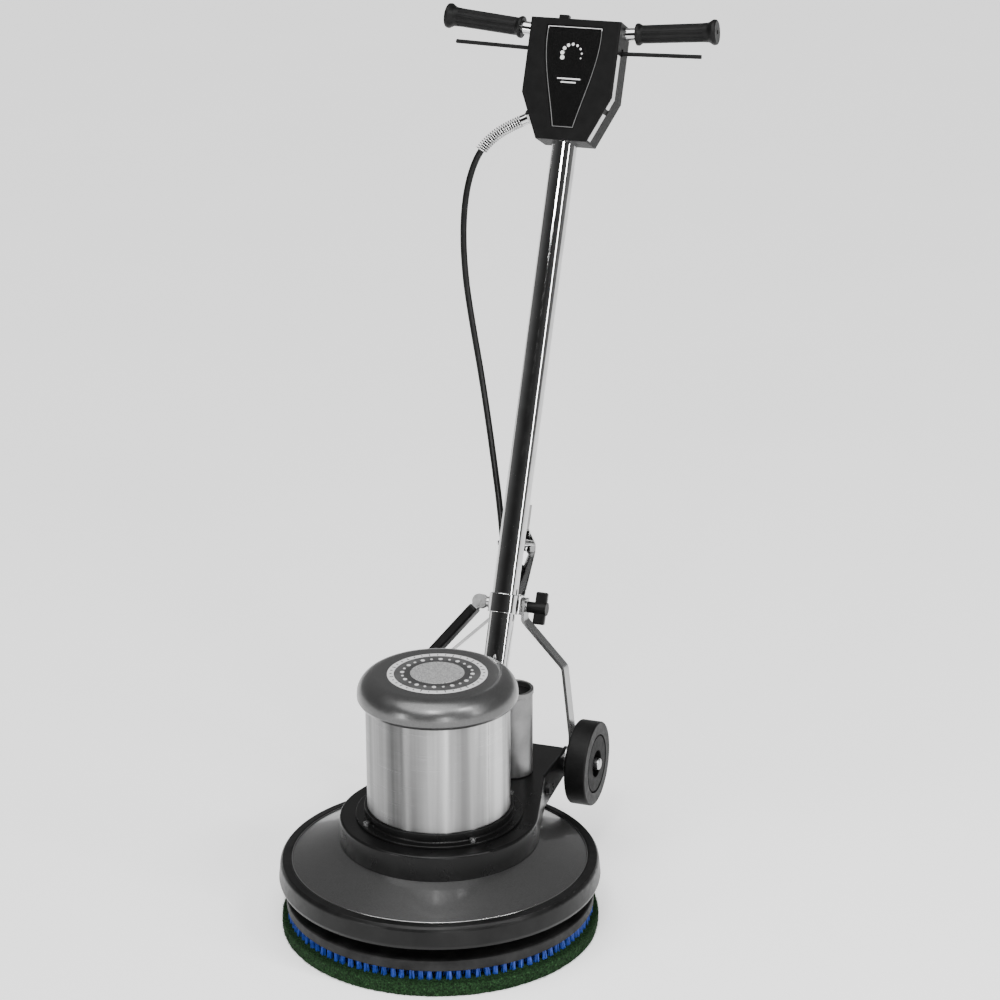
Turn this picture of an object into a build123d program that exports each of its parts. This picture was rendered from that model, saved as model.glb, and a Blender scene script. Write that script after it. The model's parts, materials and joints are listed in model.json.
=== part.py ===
from build123d import *
import math
import os

# A rotary floor machine: a pad driver hangs under a planetary gear case, a vertical motor stands
# on it, and a tilting tube handle with a switch box rises behind it.
# Millimetres. Z is up, the origin is on the floor on the motor's axis, the front faces -Y and
# the handle and the two transport wheels are towards +Y. X is the viewer's right from the front.

# ---- pad, brush and driver ----
PAD_RADIUS = 254.0
PAD_THICKNESS = 25.0
BRISTLE_RADIUS = 243.0
BRISTLE_INNER = 60.0
BRISTLE_TOP = 40.0
DRIVER_RADIUS = 245.0
DRIVER_TOP = 57.0
HUB_RADIUS = 70.0

# ---- apron and bumper ----
APRON_RADIUS = 246.0
APRON_WALL = 3.0
APRON_TOP = 148.0
APRON_SHOULDER_RADIUS = 238.0
APRON_SHOULDER_Z = 116.5
APRON_SKIRT_BOTTOM = 84.0
APRON_HOLE = 136.0
BUMPER_RADIUS = 256.0
BUMPER_BOTTOM = 82.0
BUMPER_TOP = 119.5
BUMPER_LIP = 235.0
BUMPER_GAP = 0.25

# ---- gear housing and its rear deck ----
HOUSING_RADIUS = 157.6
HOUSING_TOP = 190.0
HOUSING_WALL = 8.0
HOUSING_BORE = 30.0
GEAR_CASE_INNER = 93.0
GEAR_CASE_OUTER = 101.0
GEAR_CASE_BOTTOM = 122.0
DECK_HALF_WIDTH = 115.0
DECK_KNEE_Y = 181.0
DECK_REAR_Y = 300.0
DECK_LOW_Z = 133.5
DECK_REAR_LOW_Z = 145.0
SLOT_HALF_WIDTH = 24.5
SLOT_FRONT_Y = 166.0
SLOT_REAR_Y = 279.0
EAR_RADIUS = 22.0

# ---- planetary gears ----
GEAR_MODULE = 1.5
PRESSURE_ANGLE = 25.0
SUN_TEETH = 12
PLANET_TEETH = 48
RING_TEETH = 108
PLANET_COUNT = 3
TOOTH_PLAY = 0.16
ROOT_RELIEF = 0.3
GEAR_BOTTOM = 151.0
GEAR_TOP = 173.0
PLANET_ORBIT = GEAR_MODULE * (SUN_TEETH + PLANET_TEETH) / 2
PLANET_PIN = 6.0
OUTPUT_SHAFT = 17.5
RUNNING_GAP = 0.05

# ---- motor ----
BAND_RADIUS = 113.4
BAND_WALL = 2.0
BAND_BOTTOM = 208.7
BAND_TOP = 388.0
SEAM_ANGLE = -26.3
BELL_STEP_RADIUS = 132.0
BELL_STEP_TOP = 195.0
BELL_RADIUS = 118.0
SPIGOT_RADIUS = BAND_RADIUS - BAND_WALL - 0.2
STATOR_BORE = 62.5
STATOR_BOTTOM = 245.0
STATOR_TOP = 330.0
SLOT_COUNT = 24
ROTOR_RADIUS = 61.8
SHAFT_LOWER = 8.5
SHAFT_UPPER = 7.5
FAN_RADIUS = 92.0
FAN_BLADES = 8
CAP_RADIUS = 126.3
CAP_BOTTOM = 387.0
CAP_TOP = 431.0
CAP_ROUNDING = 31.0
CAP_WALL = 2.5

# ---- capacitor cans on the deck ----
CAN_RADIUS = 33.5
CAN_X = 59.0
CAN_Y = 184.0
CAN_TOP = 338.0
CAN_WALL = 1.2
CAN_BEAD = 1.7
CAN_BEAD_BOTTOM = 330.0
CAN_LIP = 3.0

# ---- wheels and axle ----
AXLE_Y = 305.0
AXLE_Z = 165.0
AXLE_RADIUS = 6.35
WHEEL_RADIUS = 70.3
WHEEL_INNER_X = 129.4
WHEEL_OUTER_X = 165.4
TYRE_BORE = 49.0
HUB_FACE_RADIUS = 46.8
HUB_RECESS = 22.4
HUB_RECESS_DEPTH = 12.5
AXLE_END_X = 160.0
AXLE_CAP_X = 171.0

# ---- handle: a tube that tilts about a cross bolt in the deck ----
LEAN = 24.4
PIVOT_Y = 194.5
PIVOT_Z = 162.0
PIVOT_RADIUS = 6.35
SLEEVE_RADIUS = 15.0
SLEEVE_HALF = 104.0
TUBE_RADIUS = 21.3
TUBE_WALL = 2.0
BAR_RADIUS = 11.0
BAR_WALL = 1.8
BAR_Z = 1240.6
BAR_RISE = 0.091
BAR_HALF = 231.0
GRIP_START = 99.0
GRIP_LENGTH = 137.0

# ---- switch box, in the handle's own frame: X across, Y towards the rear, Z up the tube ----
BOX_TOP = 1263.5
BOX_CORNER_Z = 1136.0
BOX_BOTTOM = 1060.0
BOX_HALF = 78.0
BOX_FOOT_HALF = 44.0
BOX_FRONT = -28.0
COVER_BACK = -23.0
SHELL_SPLIT = -5.0
BOX_REAR = 34.5
BOX_WALL = 3.0
WINDOW_DEPTH = 3.0
GASKET_TOP = 1210.0
GASKET_FOOT = 1063.2
GASKET_INSET = 0.6
GASKET_DEPTH = 7.5
TAB_LOW_Z = 1109.5
TAB_HIGH_Z = 1118.0
LEVER_PIVOT_X = 50.0
LEVER_Z = 1213.3
LEVER_RISE = 0.0275
LEVER_ROD = 3.5
LEVER_TIP = 214.0
BUTTON_X = -23.5
BUTTON_Y = -15.5

# ---- handle clamp and braces ----
COLLAR_Z = 290.0
COLLAR_HALF_HEIGHT = 16.0
LUG_HALF_HEIGHT = 15.0
LUG_REAR = 45.0
STRAP_THICKNESS = 2.2
STRAP_LEFT = -8.0
STRAP_RIGHT = 19.0
COLLAR_RADIUS = 25.0
SLIDE_GAP = 0.08
CLAMP_Y = 33.0
CLAMP_BOLT = 4.0
EAR_HALF = 24.0
BRACE_WIDTH = 25.0
BRACE_THICKNESS = 5.0
BRACE_TOP_X = 24.5
BRACE_BEND_X = 101.0
BRACE_FOOT_X = 117.5
BRACE_EYE_RADIUS = 24.5
BRACE_EYE_HOLE = 19.6

# ---- motor cable: hand-placed route points from the switch box gland to the tube ----
CABLE_DIAMETER = 11.0
CABLE_ROUTE = [
    (-80, 645, 1156),
    (-110, 639, 1142),
    (-140, 629, 1116),
    (-156, 617, 1084),
    (-165, 601, 1034),
    (-163, 581, 970),
    (-150, 557, 899),
    (-129, 532, 829),
    (-106, 506, 760),
    (-81, 472, 686),
    (-56, 434, 613),
    (-37, 404, 558),
    (-22, 375, 512),
]
BOOT_RADIUS = 7.8
BOOT_LOW_Z = 368.0
SPRING_RADIUS = 10.4
SPRING_BORE = 5.9
SPRING_POINTS = 3
SPRING_LAST_STEP = 0.5
SPRING_END = 0.85

CENTRE_BASE = (Align.CENTER, Align.CENTER, Align.MIN)
HANDLE = Pos(0, PIVOT_Y, PIVOT_Z) * Rot(X=-LEAN)


# ---- small makers ----
def rod(radius, bottom, top, x=0.0, y=0.0):
    return Pos(x, y, bottom) * Cylinder(radius, top - bottom, align=CENTRE_BASE)


def rod_x(radius, start, end, y, z):
    return Pos(start, y, z) * Rot(Y=90) * Cylinder(radius, end - start, align=CENTRE_BASE)


def rod_y(radius, start, end, x, z):
    return Pos(x, start, z) * Rot(X=-90) * Cylinder(radius, end - start, align=CENTRE_BASE)


def hex_x(across, start, end, y, z):
    prism = extrude(RegularPolygon(across / 2, 6, major_radius=False), end - start)
    return Pos(start, y, z) * Rot(Y=90) * prism


def block(x0, x1, y0, y1, z0, z1):
    middle = ((x0 + x1) / 2, (y0 + y1) / 2, (z0 + z1) / 2)
    return Pos(*middle) * Box(x1 - x0, y1 - y0, z1 - z0)


def turned(*points, radii=0):
    """A solid of revolution about Z from (radius, height) points, with optional corner radii."""
    outline = FilletPolyline(*points, radius=radii, close=True)
    return revolve(make_face(Plane.XZ * outline), Axis.Z)


def mirrored(shape):
    return mirror(shape, about=Plane.YZ)


def between(a, b, fraction):
    return a + (b - a) * fraction


# ---- pad, brush and driver ----
def make_pad():
    edge = 3.0
    outline = [(0, 0), (PAD_RADIUS, 0), (PAD_RADIUS, PAD_THICKNESS), (0, PAD_THICKNESS)]
    return turned(*outline, radii=[0, edge, edge, 0])


def make_bristles():
    return rod(BRISTLE_RADIUS, PAD_THICKNESS, BRISTLE_TOP) - rod(BRISTLE_INNER, 0, BRISTLE_TOP + 1)


def make_driver_disc():
    chamfer_size = 1.5
    disc = rod(DRIVER_RADIUS, BRISTLE_TOP, DRIVER_TOP)
    disc = chamfer(disc.edges().filter_by(GeomType.CIRCLE), chamfer_size)
    return disc - rod(HUB_RADIUS - 20, 0, DRIVER_TOP + 1)


# ---- apron, bumper and gear housing ----
def make_apron():
    lip_inner = APRON_TOP - APRON_WALL
    inner_radius = APRON_RADIUS - APRON_WALL
    outline = [
        (APRON_HOLE, APRON_TOP),
        (HOUSING_RADIUS + 0.6, APRON_TOP),
        (APRON_SHOULDER_RADIUS, APRON_SHOULDER_Z),
        (APRON_RADIUS, APRON_SHOULDER_Z - 10),
        (APRON_RADIUS, APRON_SKIRT_BOTTOM),
        (inner_radius, APRON_SKIRT_BOTTOM),
        (inner_radius, APRON_SHOULDER_Z - 11),
        (APRON_SHOULDER_RADIUS - 1.6, APRON_SHOULDER_Z - APRON_WALL),
        (HOUSING_RADIUS, lip_inner),
        (APRON_HOLE, lip_inner),
    ]
    shell = turned(*outline)
    for angle in BOLT_ANGLES:
        shell -= bolt_at(angle, BOLT_RADIUS + 0.1, APRON_TOP - 20, APRON_TOP + 20)
    return shell


def apron_clearance():
    """The room the apron takes, and a little over, as a cutter for what stands above it."""
    gap = 0.5
    outline = [
        (0, 0),
        (BUMPER_RADIUS + 10, 0),
        (BUMPER_RADIUS + 10, APRON_SHOULDER_Z - 6),
        (APRON_SHOULDER_RADIUS + 2, APRON_SHOULDER_Z + gap),
        (HOUSING_RADIUS + 0.6 + 2 * gap, APRON_TOP),
        (0, APRON_TOP),
    ]
    return turned(*outline)


def make_bumper():
    inner = APRON_RADIUS + BUMPER_GAP
    outline = [
        (inner, BUMPER_BOTTOM),
        (BUMPER_RADIUS - 2.0, BUMPER_BOTTOM),
        (BUMPER_RADIUS, BUMPER_BOTTOM + 6),
        (BUMPER_RADIUS - 2.6, BUMPER_TOP - 6),
        (BUMPER_RADIUS - 6.5, BUMPER_TOP - 1),
        (BUMPER_LIP + 3, BUMPER_TOP),
        (BUMPER_LIP, BUMPER_TOP - 1.0),
        (APRON_SHOULDER_RADIUS + 0.2, APRON_SHOULDER_Z + 0.3),
        (inner, APRON_SHOULDER_Z - 9.6),
    ]
    return turned(*outline, radii=[0, 2.0, 6.0, 8.0, 3.0, 0.8, 0, 0, 0])


BOLT_RADIUS = 2.5
BOLT_CIRCLE = HOUSING_RADIUS - HOUSING_WALL / 2 - 0.4
BOLT_ANGLES = [22.5 + 45 * i for i in range(8)]


def bolt_at(angle, radius, bottom, top):
    x = BOLT_CIRCLE * math.cos(math.radians(angle))
    y = BOLT_CIRCLE * math.sin(math.radians(angle))
    return rod(radius, bottom, top, x, y)


def make_housing_bolts():
    """The bolts up through the apron and the ones down through the motor's foot."""
    bolts = Part()
    seat = APRON_TOP - APRON_WALL - 0.2
    for angle in BOLT_ANGLES:
        x = BOLT_CIRCLE * math.cos(math.radians(angle))
        y = BOLT_CIRCLE * math.sin(math.radians(angle))
        head = Pos(x, y, seat - 4) * extrude(RegularPolygon(4, 6, major_radius=False), 4)
        bolts += head + bolt_at(angle, BOLT_RADIUS, seat - 1, APRON_TOP + 18)
    for angle in END_BELL_BOLTS:
        x, y = end_bell_spot(angle)
        shank = rod(3.0, HOUSING_TOP - HOUSING_WALL, BELL_STEP_TOP + 1, x, y)
        head = rod(5.2, BELL_STEP_TOP + 0.05, BELL_STEP_TOP + 5, x, y)
        head -= Pos(x, y, BELL_STEP_TOP + 2.5) * extrude(RegularPolygon(2.5, 6, major_radius=False), 4)
        bolts += shank + head
    return bolts


def deck_outline(inset):
    """The drum's circle joined to the deck by two straight sides that leave it at a tangent."""
    radius = HOUSING_RADIUS
    reach = math.hypot(DECK_HALF_WIDTH, DECK_KNEE_Y)
    tangent = math.atan2(DECK_KNEE_Y, DECK_HALF_WIDTH) - math.acos(radius / reach)
    start = (radius * math.cos(tangent), radius * math.sin(tangent))
    side = [start, (DECK_HALF_WIDTH, DECK_KNEE_Y), (DECK_HALF_WIDTH, DECK_REAR_Y)]
    corners = side + [(-x, y) for x, y in reversed(side)]
    outline = Circle(radius) + make_face(Polyline(*corners, close=True))
    return offset(outline, -inset, kind=Kind.INTERSECTION) if inset else outline


def deck_underside():
    """Everything below the deck's side walls, seen from the side, as a block to cut away."""
    low = 60.0
    far = DECK_REAR_Y + 60
    points = [
        (-200, APRON_TOP),
        (40, APRON_TOP),
        (DECK_KNEE_Y, DECK_LOW_Z),
        (DECK_REAR_Y - 18, DECK_REAR_LOW_Z),
        (DECK_REAR_Y + 1, DECK_REAR_LOW_Z + 12),
        (far, DECK_REAR_LOW_Z + 12),
        (far, low),
        (-200, low),
    ]
    face = make_face(Plane.YZ * Polyline(*points, close=True))
    return Pos(-300, 0, 0) * extrude(face, 600, dir=(1, 0, 0))


def make_gear_housing():
    plate_bottom = HOUSING_TOP - HOUSING_WALL
    low = DECK_LOW_Z - 2
    body = Pos(0, 0, low) * extrude(deck_outline(0), HOUSING_TOP - low)
    top_edges = body.edges().group_by(Axis.Z)[-1]
    body = fillet(top_edges, 4.0)
    body -= Pos(0, 0, low - 1) * extrude(deck_outline(HOUSING_WALL), plate_bottom - low + 1)
    ears = Part()
    for side in (-1, 1):
        inner = side * (DECK_HALF_WIDTH - HOUSING_WALL)
        outer = side * DECK_HALF_WIDTH
        ears += rod_x(EAR_RADIUS, min(inner, outer), max(inner, outer), AXLE_Y, AXLE_Z)
        boss = side * (DECK_HALF_WIDTH - HOUSING_WALL - 2.5)
        ears += rod_x(12.0, min(boss, inner), max(boss, inner), PIVOT_Y, PIVOT_Z)
    body -= deck_underside()
    body -= apron_clearance()
    body += ears
    drum = rod(HOUSING_RADIUS, APRON_TOP, plate_bottom + 1)
    body += drum - rod(HOUSING_RADIUS - HOUSING_WALL, 0, plate_bottom + 2)
    case = rod(GEAR_CASE_OUTER, GEAR_CASE_BOTTOM, plate_bottom + 1)
    body += case - rod(GEAR_CASE_INNER, 0, plate_bottom + 2)
    body -= rod(HOUSING_BORE, 100, HOUSING_TOP + 1)
    slot = block(-SLOT_HALF_WIDTH, SLOT_HALF_WIDTH, SLOT_FRONT_Y, SLOT_REAR_Y, plate_bottom - 1, HOUSING_TOP + 1)
    body -= fillet(slot.edges().filter_by(Axis.Z), 8.0)
    body -= rod_x(AXLE_RADIUS + RUNNING_GAP, -150, 150, AXLE_Y, AXLE_Z)
    body -= rod_x(PIVOT_RADIUS + RUNNING_GAP, -150, 150, PIVOT_Y, PIVOT_Z)
    for angle in BOLT_ANGLES:
        body -= bolt_at(angle, BOLT_RADIUS + 0.05, APRON_TOP - 1, APRON_TOP + 19)
    for angle in END_BELL_BOLTS:
        body -= end_bell_hole(angle)
    return body


END_BELL_BOLTS = [45 + 90 * i for i in range(4)]
END_BELL_BOLT_CIRCLE = 125.0


def end_bell_spot(angle):
    x = END_BELL_BOLT_CIRCLE * math.cos(math.radians(angle))
    y = END_BELL_BOLT_CIRCLE * math.sin(math.radians(angle))
    return x, y


def end_bell_hole(angle):
    x, y = end_bell_spot(angle)
    return rod(3.05, HOUSING_TOP - HOUSING_WALL - 1, BELL_STEP_TOP + 1, x, y)


def make_gearbox_cover():
    boss_bottom = 112.0
    plate_top = GEAR_CASE_BOTTOM - 0.1
    outline = [
        (26.0, boss_bottom),
        (38.0, boss_bottom),
        (38.0, boss_bottom + 3),
        (GEAR_CASE_OUTER, boss_bottom + 3),
        (GEAR_CASE_OUTER, plate_top),
        (GEAR_CASE_INNER - 0.1, plate_top),
        (GEAR_CASE_INNER - 0.1, plate_top + 3),
        (38.0, plate_top + 3),
        (38.0, 131.0),
        (31.05, 131.0),
        (31.05, 116.0),
        (26.0, 116.0),
    ]
    return turned(*outline)


# ---- gears ----
def gear_outline(teeth, tip, root, play):
    """Points of an involute gear; play thins each tooth by that much along the pitch circle."""
    pitch = GEAR_MODULE * teeth / 2
    angle = math.radians(PRESSURE_ANGLE)
    base = pitch * math.cos(angle)
    involute_at_pitch = math.tan(angle) - angle
    half_tooth = math.pi / (2 * teeth) - play / (2 * pitch)
    flank = []
    steps = 4
    start = max(base, root)
    for i in range(steps + 1):
        radius = start + (tip - start) * i / steps
        turn = math.acos(min(1.0, base / radius))
        flank.append((radius, half_tooth + involute_at_pitch - (math.tan(turn) - turn)))
    if root < base:
        flank.insert(0, (root, flank[0][1] - ROOT_RELIEF / root))
    points = []
    for tooth in range(teeth):
        centre = 2 * math.pi * tooth / teeth
        for radius, half in flank:
            points.append((radius * math.cos(centre - half), radius * math.sin(centre - half)))
        for radius, half in reversed(flank):
            points.append((radius * math.cos(centre + half), radius * math.sin(centre + half)))
    return points


def gear_solid(teeth, tip_height, root_depth, play, bottom, top):
    pitch = GEAR_MODULE * teeth / 2
    points = gear_outline(teeth, pitch + tip_height, pitch - root_depth, play)
    return Pos(0, 0, bottom) * extrude(make_face(Polyline(*points, close=True)), top - bottom)


def make_ring_gear():
    tooth_height = 0.9 * GEAR_MODULE
    root_height = 1.25 * GEAR_MODULE
    blank = rod(GEAR_CASE_INNER - 0.05, GEAR_BOTTOM, GEAR_TOP)
    spaces = gear_solid(RING_TEETH, root_height, tooth_height, -TOOTH_PLAY, GEAR_BOTTOM - 1, GEAR_TOP + 1)
    half_pitch = 180 / RING_TEETH
    return blank - Rot(Z=half_pitch) * spaces


def make_planet(index):
    tip_height = 0.9 * GEAR_MODULE
    root_depth = 1.25 * GEAR_MODULE
    gear = gear_solid(PLANET_TEETH, tip_height, root_depth, TOOTH_PLAY, GEAR_BOTTOM + 0.5, GEAR_TOP - 0.5)
    gear -= rod(PLANET_PIN + RUNNING_GAP, GEAR_BOTTOM - 1, GEAR_TOP + 1)
    half_pitch = 180 / PLANET_TEETH
    placed = Pos(PLANET_ORBIT, 0, 0) * Rot(Z=half_pitch) * gear
    return Rot(Z=360 / PLANET_COUNT * index) * placed


def make_carrier():
    plate_bottom = 137.0
    plate_top = GEAR_BOTTOM - 1.0
    carrier = rod(62.0, plate_bottom, plate_top) + rod(20.0, 131.5, plate_bottom + 1)
    carrier += rod(OUTPUT_SHAFT - RUNNING_GAP, DRIVER_TOP + 1, 132)
    carrier += rod(HUB_RADIUS, DRIVER_TOP, DRIVER_TOP + 10)
    carrier += rod(40.0, DRIVER_TOP + 9, DRIVER_TOP + 34)
    for index in range(PLANET_COUNT):
        turn = math.radians(360 / PLANET_COUNT * index)
        x = PLANET_ORBIT * math.cos(turn)
        y = PLANET_ORBIT * math.sin(turn)
        carrier += rod(PLANET_PIN, plate_top - 1, GEAR_TOP + 2, x, y)
        carrier += rod(PLANET_PIN + 4, GEAR_TOP + 0.3, GEAR_TOP + 3, x, y)
    return carrier


# ---- motor ----
def make_lower_end_bell():
    outline = [
        (12.0, HOUSING_TOP),
        (BELL_STEP_RADIUS, HOUSING_TOP),
        (BELL_STEP_RADIUS, BELL_STEP_TOP),
        (BELL_RADIUS, BELL_STEP_TOP),
        (BELL_RADIUS, BAND_BOTTOM),
        (SPIGOT_RADIUS, BAND_BOTTOM),
        (SPIGOT_RADIUS, BAND_BOTTOM + 7),
        (105.0, BAND_BOTTOM + 7),
        (105.0, 198.0),
        (26.0, 198.0),
        (26.0, 212.0),
        (20.05, 212.0),
        (20.05, 200.0),
        (12.0, 200.0),
    ]
    bell = turned(*outline, radii=[0, 0, 1.5, 2.0, 1.0, 0, 0, 0, 0, 0, 0, 0, 0, 0])
    for angle in END_BELL_BOLTS:
        bell -= end_bell_hole(angle)
    return bell


def make_upper_end_bell():
    outline = [
        (SPIGOT_RADIUS, 352.0),
        (SPIGOT_RADIUS, 372.0),
        (12.0, 372.0),
        (12.0, 369.5),
        (17.55, 369.5),
        (17.55, 357.0),
        (26.0, 357.0),
        (26.0, 366.0),
        (105.0, 366.0),
        (105.0, 352.0),
    ]
    bell = turned(*outline)
    for i in range(6):
        x = 70 * math.cos(math.radians(60 * i))
        y = 70 * math.sin(math.radians(60 * i))
        bell -= rod(12.0, 360, 375, x, y)
    for i in range(3):
        x = 101 * math.cos(math.radians(120 * i + 90))
        y = 101 * math.sin(math.radians(120 * i + 90))
        bell += rod(4.0, 371, CAP_TOP - CAP_WALL - 5, x, y)
    return bell


def make_stator():
    stator = rod(SPIGOT_RADIUS, STATOR_BOTTOM, STATOR_TOP) - rod(STATOR_BORE, 0, STATOR_TOP + 1)
    for i in range(SLOT_COUNT):
        groove = block(STATOR_BORE - 1, STATOR_BORE + 20, -2.5, 2.5, STATOR_BOTTOM - 1, STATOR_TOP + 1)
        stator -= Rot(Z=360 / SLOT_COUNT * i) * groove
    return stator


def make_stator_coils():
    coils = Part()
    for bottom, top in ((220.0, STATOR_BOTTOM - 0.1), (STATOR_TOP + 0.1, 350.0)):
        outline = [(67, bottom), (98, bottom), (98, top), (67, top)]
        coils += turned(*outline, radii=[8, 8, 4, 4])
    return coils


def make_motor_band():
    band = rod(BAND_RADIUS, BAND_BOTTOM, BAND_TOP) - rod(BAND_RADIUS - BAND_WALL, 0, BAND_TOP + 1)
    seam = block(BAND_RADIUS - 0.6, BAND_RADIUS + 1, -0.5, 0.5, BAND_BOTTOM - 1, BAND_TOP + 1)
    return band - Rot(Z=SEAM_ANGLE) * seam


def make_motor_cap():
    inner = CAP_RADIUS - CAP_WALL
    outline = [
        (0, CAP_TOP),
        (CAP_RADIUS, CAP_TOP - 2.5),
        (CAP_RADIUS, CAP_BOTTOM + 6),
        (CAP_RADIUS - 4, CAP_BOTTOM),
        (CAP_RADIUS - 7, CAP_BOTTOM),
        (CAP_RADIUS - 7, CAP_BOTTOM + 2),
        (inner, CAP_BOTTOM + 7),
        (inner, CAP_TOP - 2.5 - CAP_WALL),
        (0, CAP_TOP - CAP_WALL),
    ]
    radii = [0, CAP_ROUNDING, 4.0, 1.0, 0, 0, 3.0, CAP_ROUNDING - CAP_WALL, 0]
    return turned(*outline, radii=radii)


def make_rotor():
    core = rod(ROTOR_RADIUS, STATOR_BOTTOM, STATOR_TOP) - rod(SHAFT_LOWER + 0.02, 0, 500)
    for bottom, top in ((STATOR_BOTTOM - 12, STATOR_BOTTOM + 0.5), (STATOR_TOP - 0.5, STATOR_TOP + 12)):
        core += rod(56.0, bottom, top) - rod(40.0, 0, 500)
    return core


def make_motor_shaft():
    shaft = rod(SHAFT_LOWER - RUNNING_GAP, GEAR_TOP, 350)
    shaft += rod(SHAFT_UPPER - RUNNING_GAP, 349, 404)
    sun = gear_solid(SUN_TEETH, GEAR_MODULE * 0.9, GEAR_MODULE * 1.25, TOOTH_PLAY, GEAR_BOTTOM, GEAR_TOP)
    return shaft + sun


def make_fan():
    fan = rod(18.0, 376, 400) + rod(FAN_RADIUS, 376, 378.5)
    for i in range(FAN_BLADES):
        blade = block(15, FAN_RADIUS - 2, -1.2, 1.2, 377, 402)
        fan += Rot(Z=360 / FAN_BLADES * i) * blade
    return fan - rod(SHAFT_UPPER, 370, 410)


def make_bearings():
    upper = rod(17.5, 358, 369) - rod(SHAFT_UPPER, 350, 370)
    lower = rod(20.0, 200.05, 212) - rod(SHAFT_LOWER, 190, 213)
    output = rod(31.0, 116.05, 130) - rod(OUTPUT_SHAFT, 110, 131)
    return upper + lower + output


# ---- capacitors ----
def make_can():
    """A thin-walled can with a rolled bead round its mouth."""
    inner = CAN_RADIUS - CAN_WALL
    mouth = CAN_RADIUS + CAN_BEAD - 5
    outline = [
        (0, HOUSING_TOP),
        (CAN_RADIUS, HOUSING_TOP),
        (CAN_RADIUS, CAN_BEAD_BOTTOM - 1),
        (CAN_RADIUS + CAN_BEAD, CAN_BEAD_BOTTOM),
        (CAN_RADIUS + CAN_BEAD, CAN_TOP),
        (mouth, CAN_TOP),
        (mouth, CAN_TOP - CAN_LIP),
        (inner, CAN_TOP - CAN_LIP),
        (inner, HOUSING_TOP + CAN_WALL),
        (0, HOUSING_TOP + CAN_WALL),
    ]
    return Pos(CAN_X, CAN_Y, 0) * turned(*outline, radii=[0, 3.0, 0.5, 0.8, 1.5, 0.8, 0, 0, 1.8, 0])


def make_can_lids():
    lid = rod(CAN_RADIUS - CAN_WALL - 0.1, CAN_TOP - 14, CAN_TOP - 10.1, CAN_X, CAN_Y)
    lid += rod(CAN_RADIUS - 8, CAN_TOP - 11, CAN_TOP - 8, CAN_X, CAN_Y)
    return lid + mirrored(lid)


def make_capacitors():
    one = rod(CAN_RADIUS - 4, HOUSING_TOP + 3, CAN_TOP - 22, CAN_X, CAN_Y)
    one = fillet(one.edges().filter_by(GeomType.CIRCLE), 2.0)
    for offset_x in (-9, 9):
        one += rod(3.0, CAN_TOP - 23, CAN_TOP - 14, CAN_X + offset_x, CAN_Y)
    return one + mirrored(one)


# ---- wheels ----
def make_tyre():
    width = WHEEL_OUTER_X - WHEEL_INNER_X
    outline = [(TYRE_BORE, 0), (WHEEL_RADIUS, 0), (WHEEL_RADIUS, width), (TYRE_BORE, width)]
    ring = turned(*outline, radii=[1.0, 4.0, 2.5, 1.0])
    return Pos(WHEEL_INNER_X, AXLE_Y, AXLE_Z) * Rot(Y=90) * ring


def make_wheel():
    """The hub: a raised face, a groove round it under the tyre, and a dished middle."""
    width = WHEEL_OUTER_X - WHEEL_INNER_X
    bore = AXLE_RADIUS + RUNNING_GAP
    rim = TYRE_BORE - 0.1
    floor = width - HUB_RECESS_DEPTH
    outline = [
        (bore, 0),
        (rim, 0),
        (rim, width - 4.0),
        (HUB_FACE_RADIUS, width - 4.0),
        (HUB_FACE_RADIUS, width - 0.5),
        (HUB_RECESS, width - 0.5),
        (HUB_RECESS - 1.5, floor),
        (bore, floor),
    ]
    hub = turned(*outline, radii=[0, 1.0, 0.5, 0, 1.2, 1.5, 1.5, 0])
    return Pos(WHEEL_INNER_X, AXLE_Y, AXLE_Z) * Rot(Y=90) * hub


def make_axle():
    axle = rod_x(AXLE_RADIUS, -AXLE_END_X, AXLE_END_X, AXLE_Y, AXLE_Z)
    return chamfer(axle.edges().filter_by(GeomType.CIRCLE), 0.8)


def make_axle_hardware():
    """Washers either side of each brace eye, a spacer, and a washer and a domed cap in each hub."""
    right = rod_x(27.0, 115.2, 116.9, AXLE_Y, AXLE_Z)
    right += rod_x(27.0, 123.1, 124.8, AXLE_Y, AXLE_Z)
    right += rod_x(10.0, 124.8, WHEEL_INNER_X - 0.3, AXLE_Y, AXLE_Z)
    floor = WHEEL_OUTER_X - HUB_RECESS_DEPTH
    right += rod_x(12.0, floor + 0.2, floor + 2.0, AXLE_Y, AXLE_Z)
    right += rod_x(8.0, floor + 1.5, floor + 9.0, AXLE_Y, AXLE_Z)
    cap = rod_x(9.8, floor + 8.0, AXLE_CAP_X, AXLE_Y, AXLE_Z)
    right += fillet(cap.edges().group_by(Axis.X)[-1], 3.0)
    right -= rod_x(AXLE_RADIUS + 0.02, 100, AXLE_END_X + 0.1, AXLE_Y, AXLE_Z)
    return right + mirrored(right)


def make_pivot_bolt():
    outside = DECK_HALF_WIDTH + 0.1
    bolt = rod_x(PIVOT_RADIUS, -outside - 8, outside + 2, PIVOT_Y, PIVOT_Z)
    bolt += rod_x(9.5, outside, outside + 1.4, PIVOT_Y, PIVOT_Z)
    bolt += hex_x(16.0, outside + 1.4, outside + 6.6, PIVOT_Y, PIVOT_Z)
    bolt += rod_x(9.5, -outside - 1.4, -outside, PIVOT_Y, PIVOT_Z)
    bolt += hex_x(16.0, -outside - 7.4, -outside - 1.4, PIVOT_Y, PIVOT_Z)
    return bolt


# ---- handle ----
def make_handle_tube():
    top = BAR_Z - BAR_RADIUS - 0.1
    tube = rod(TUBE_RADIUS, 0, top) - rod(TUBE_RADIUS - TUBE_WALL, -1, top + 1)
    tube -= rod_x(SLEEVE_RADIUS + 0.05, -60, 60, 0, 0)
    tube -= block(-40, 40, -40, 40, -40, 4)
    return HANDLE * tube - cable_entry(CABLE_DIAMETER / 2 + 0.6, 0, 60)


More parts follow.
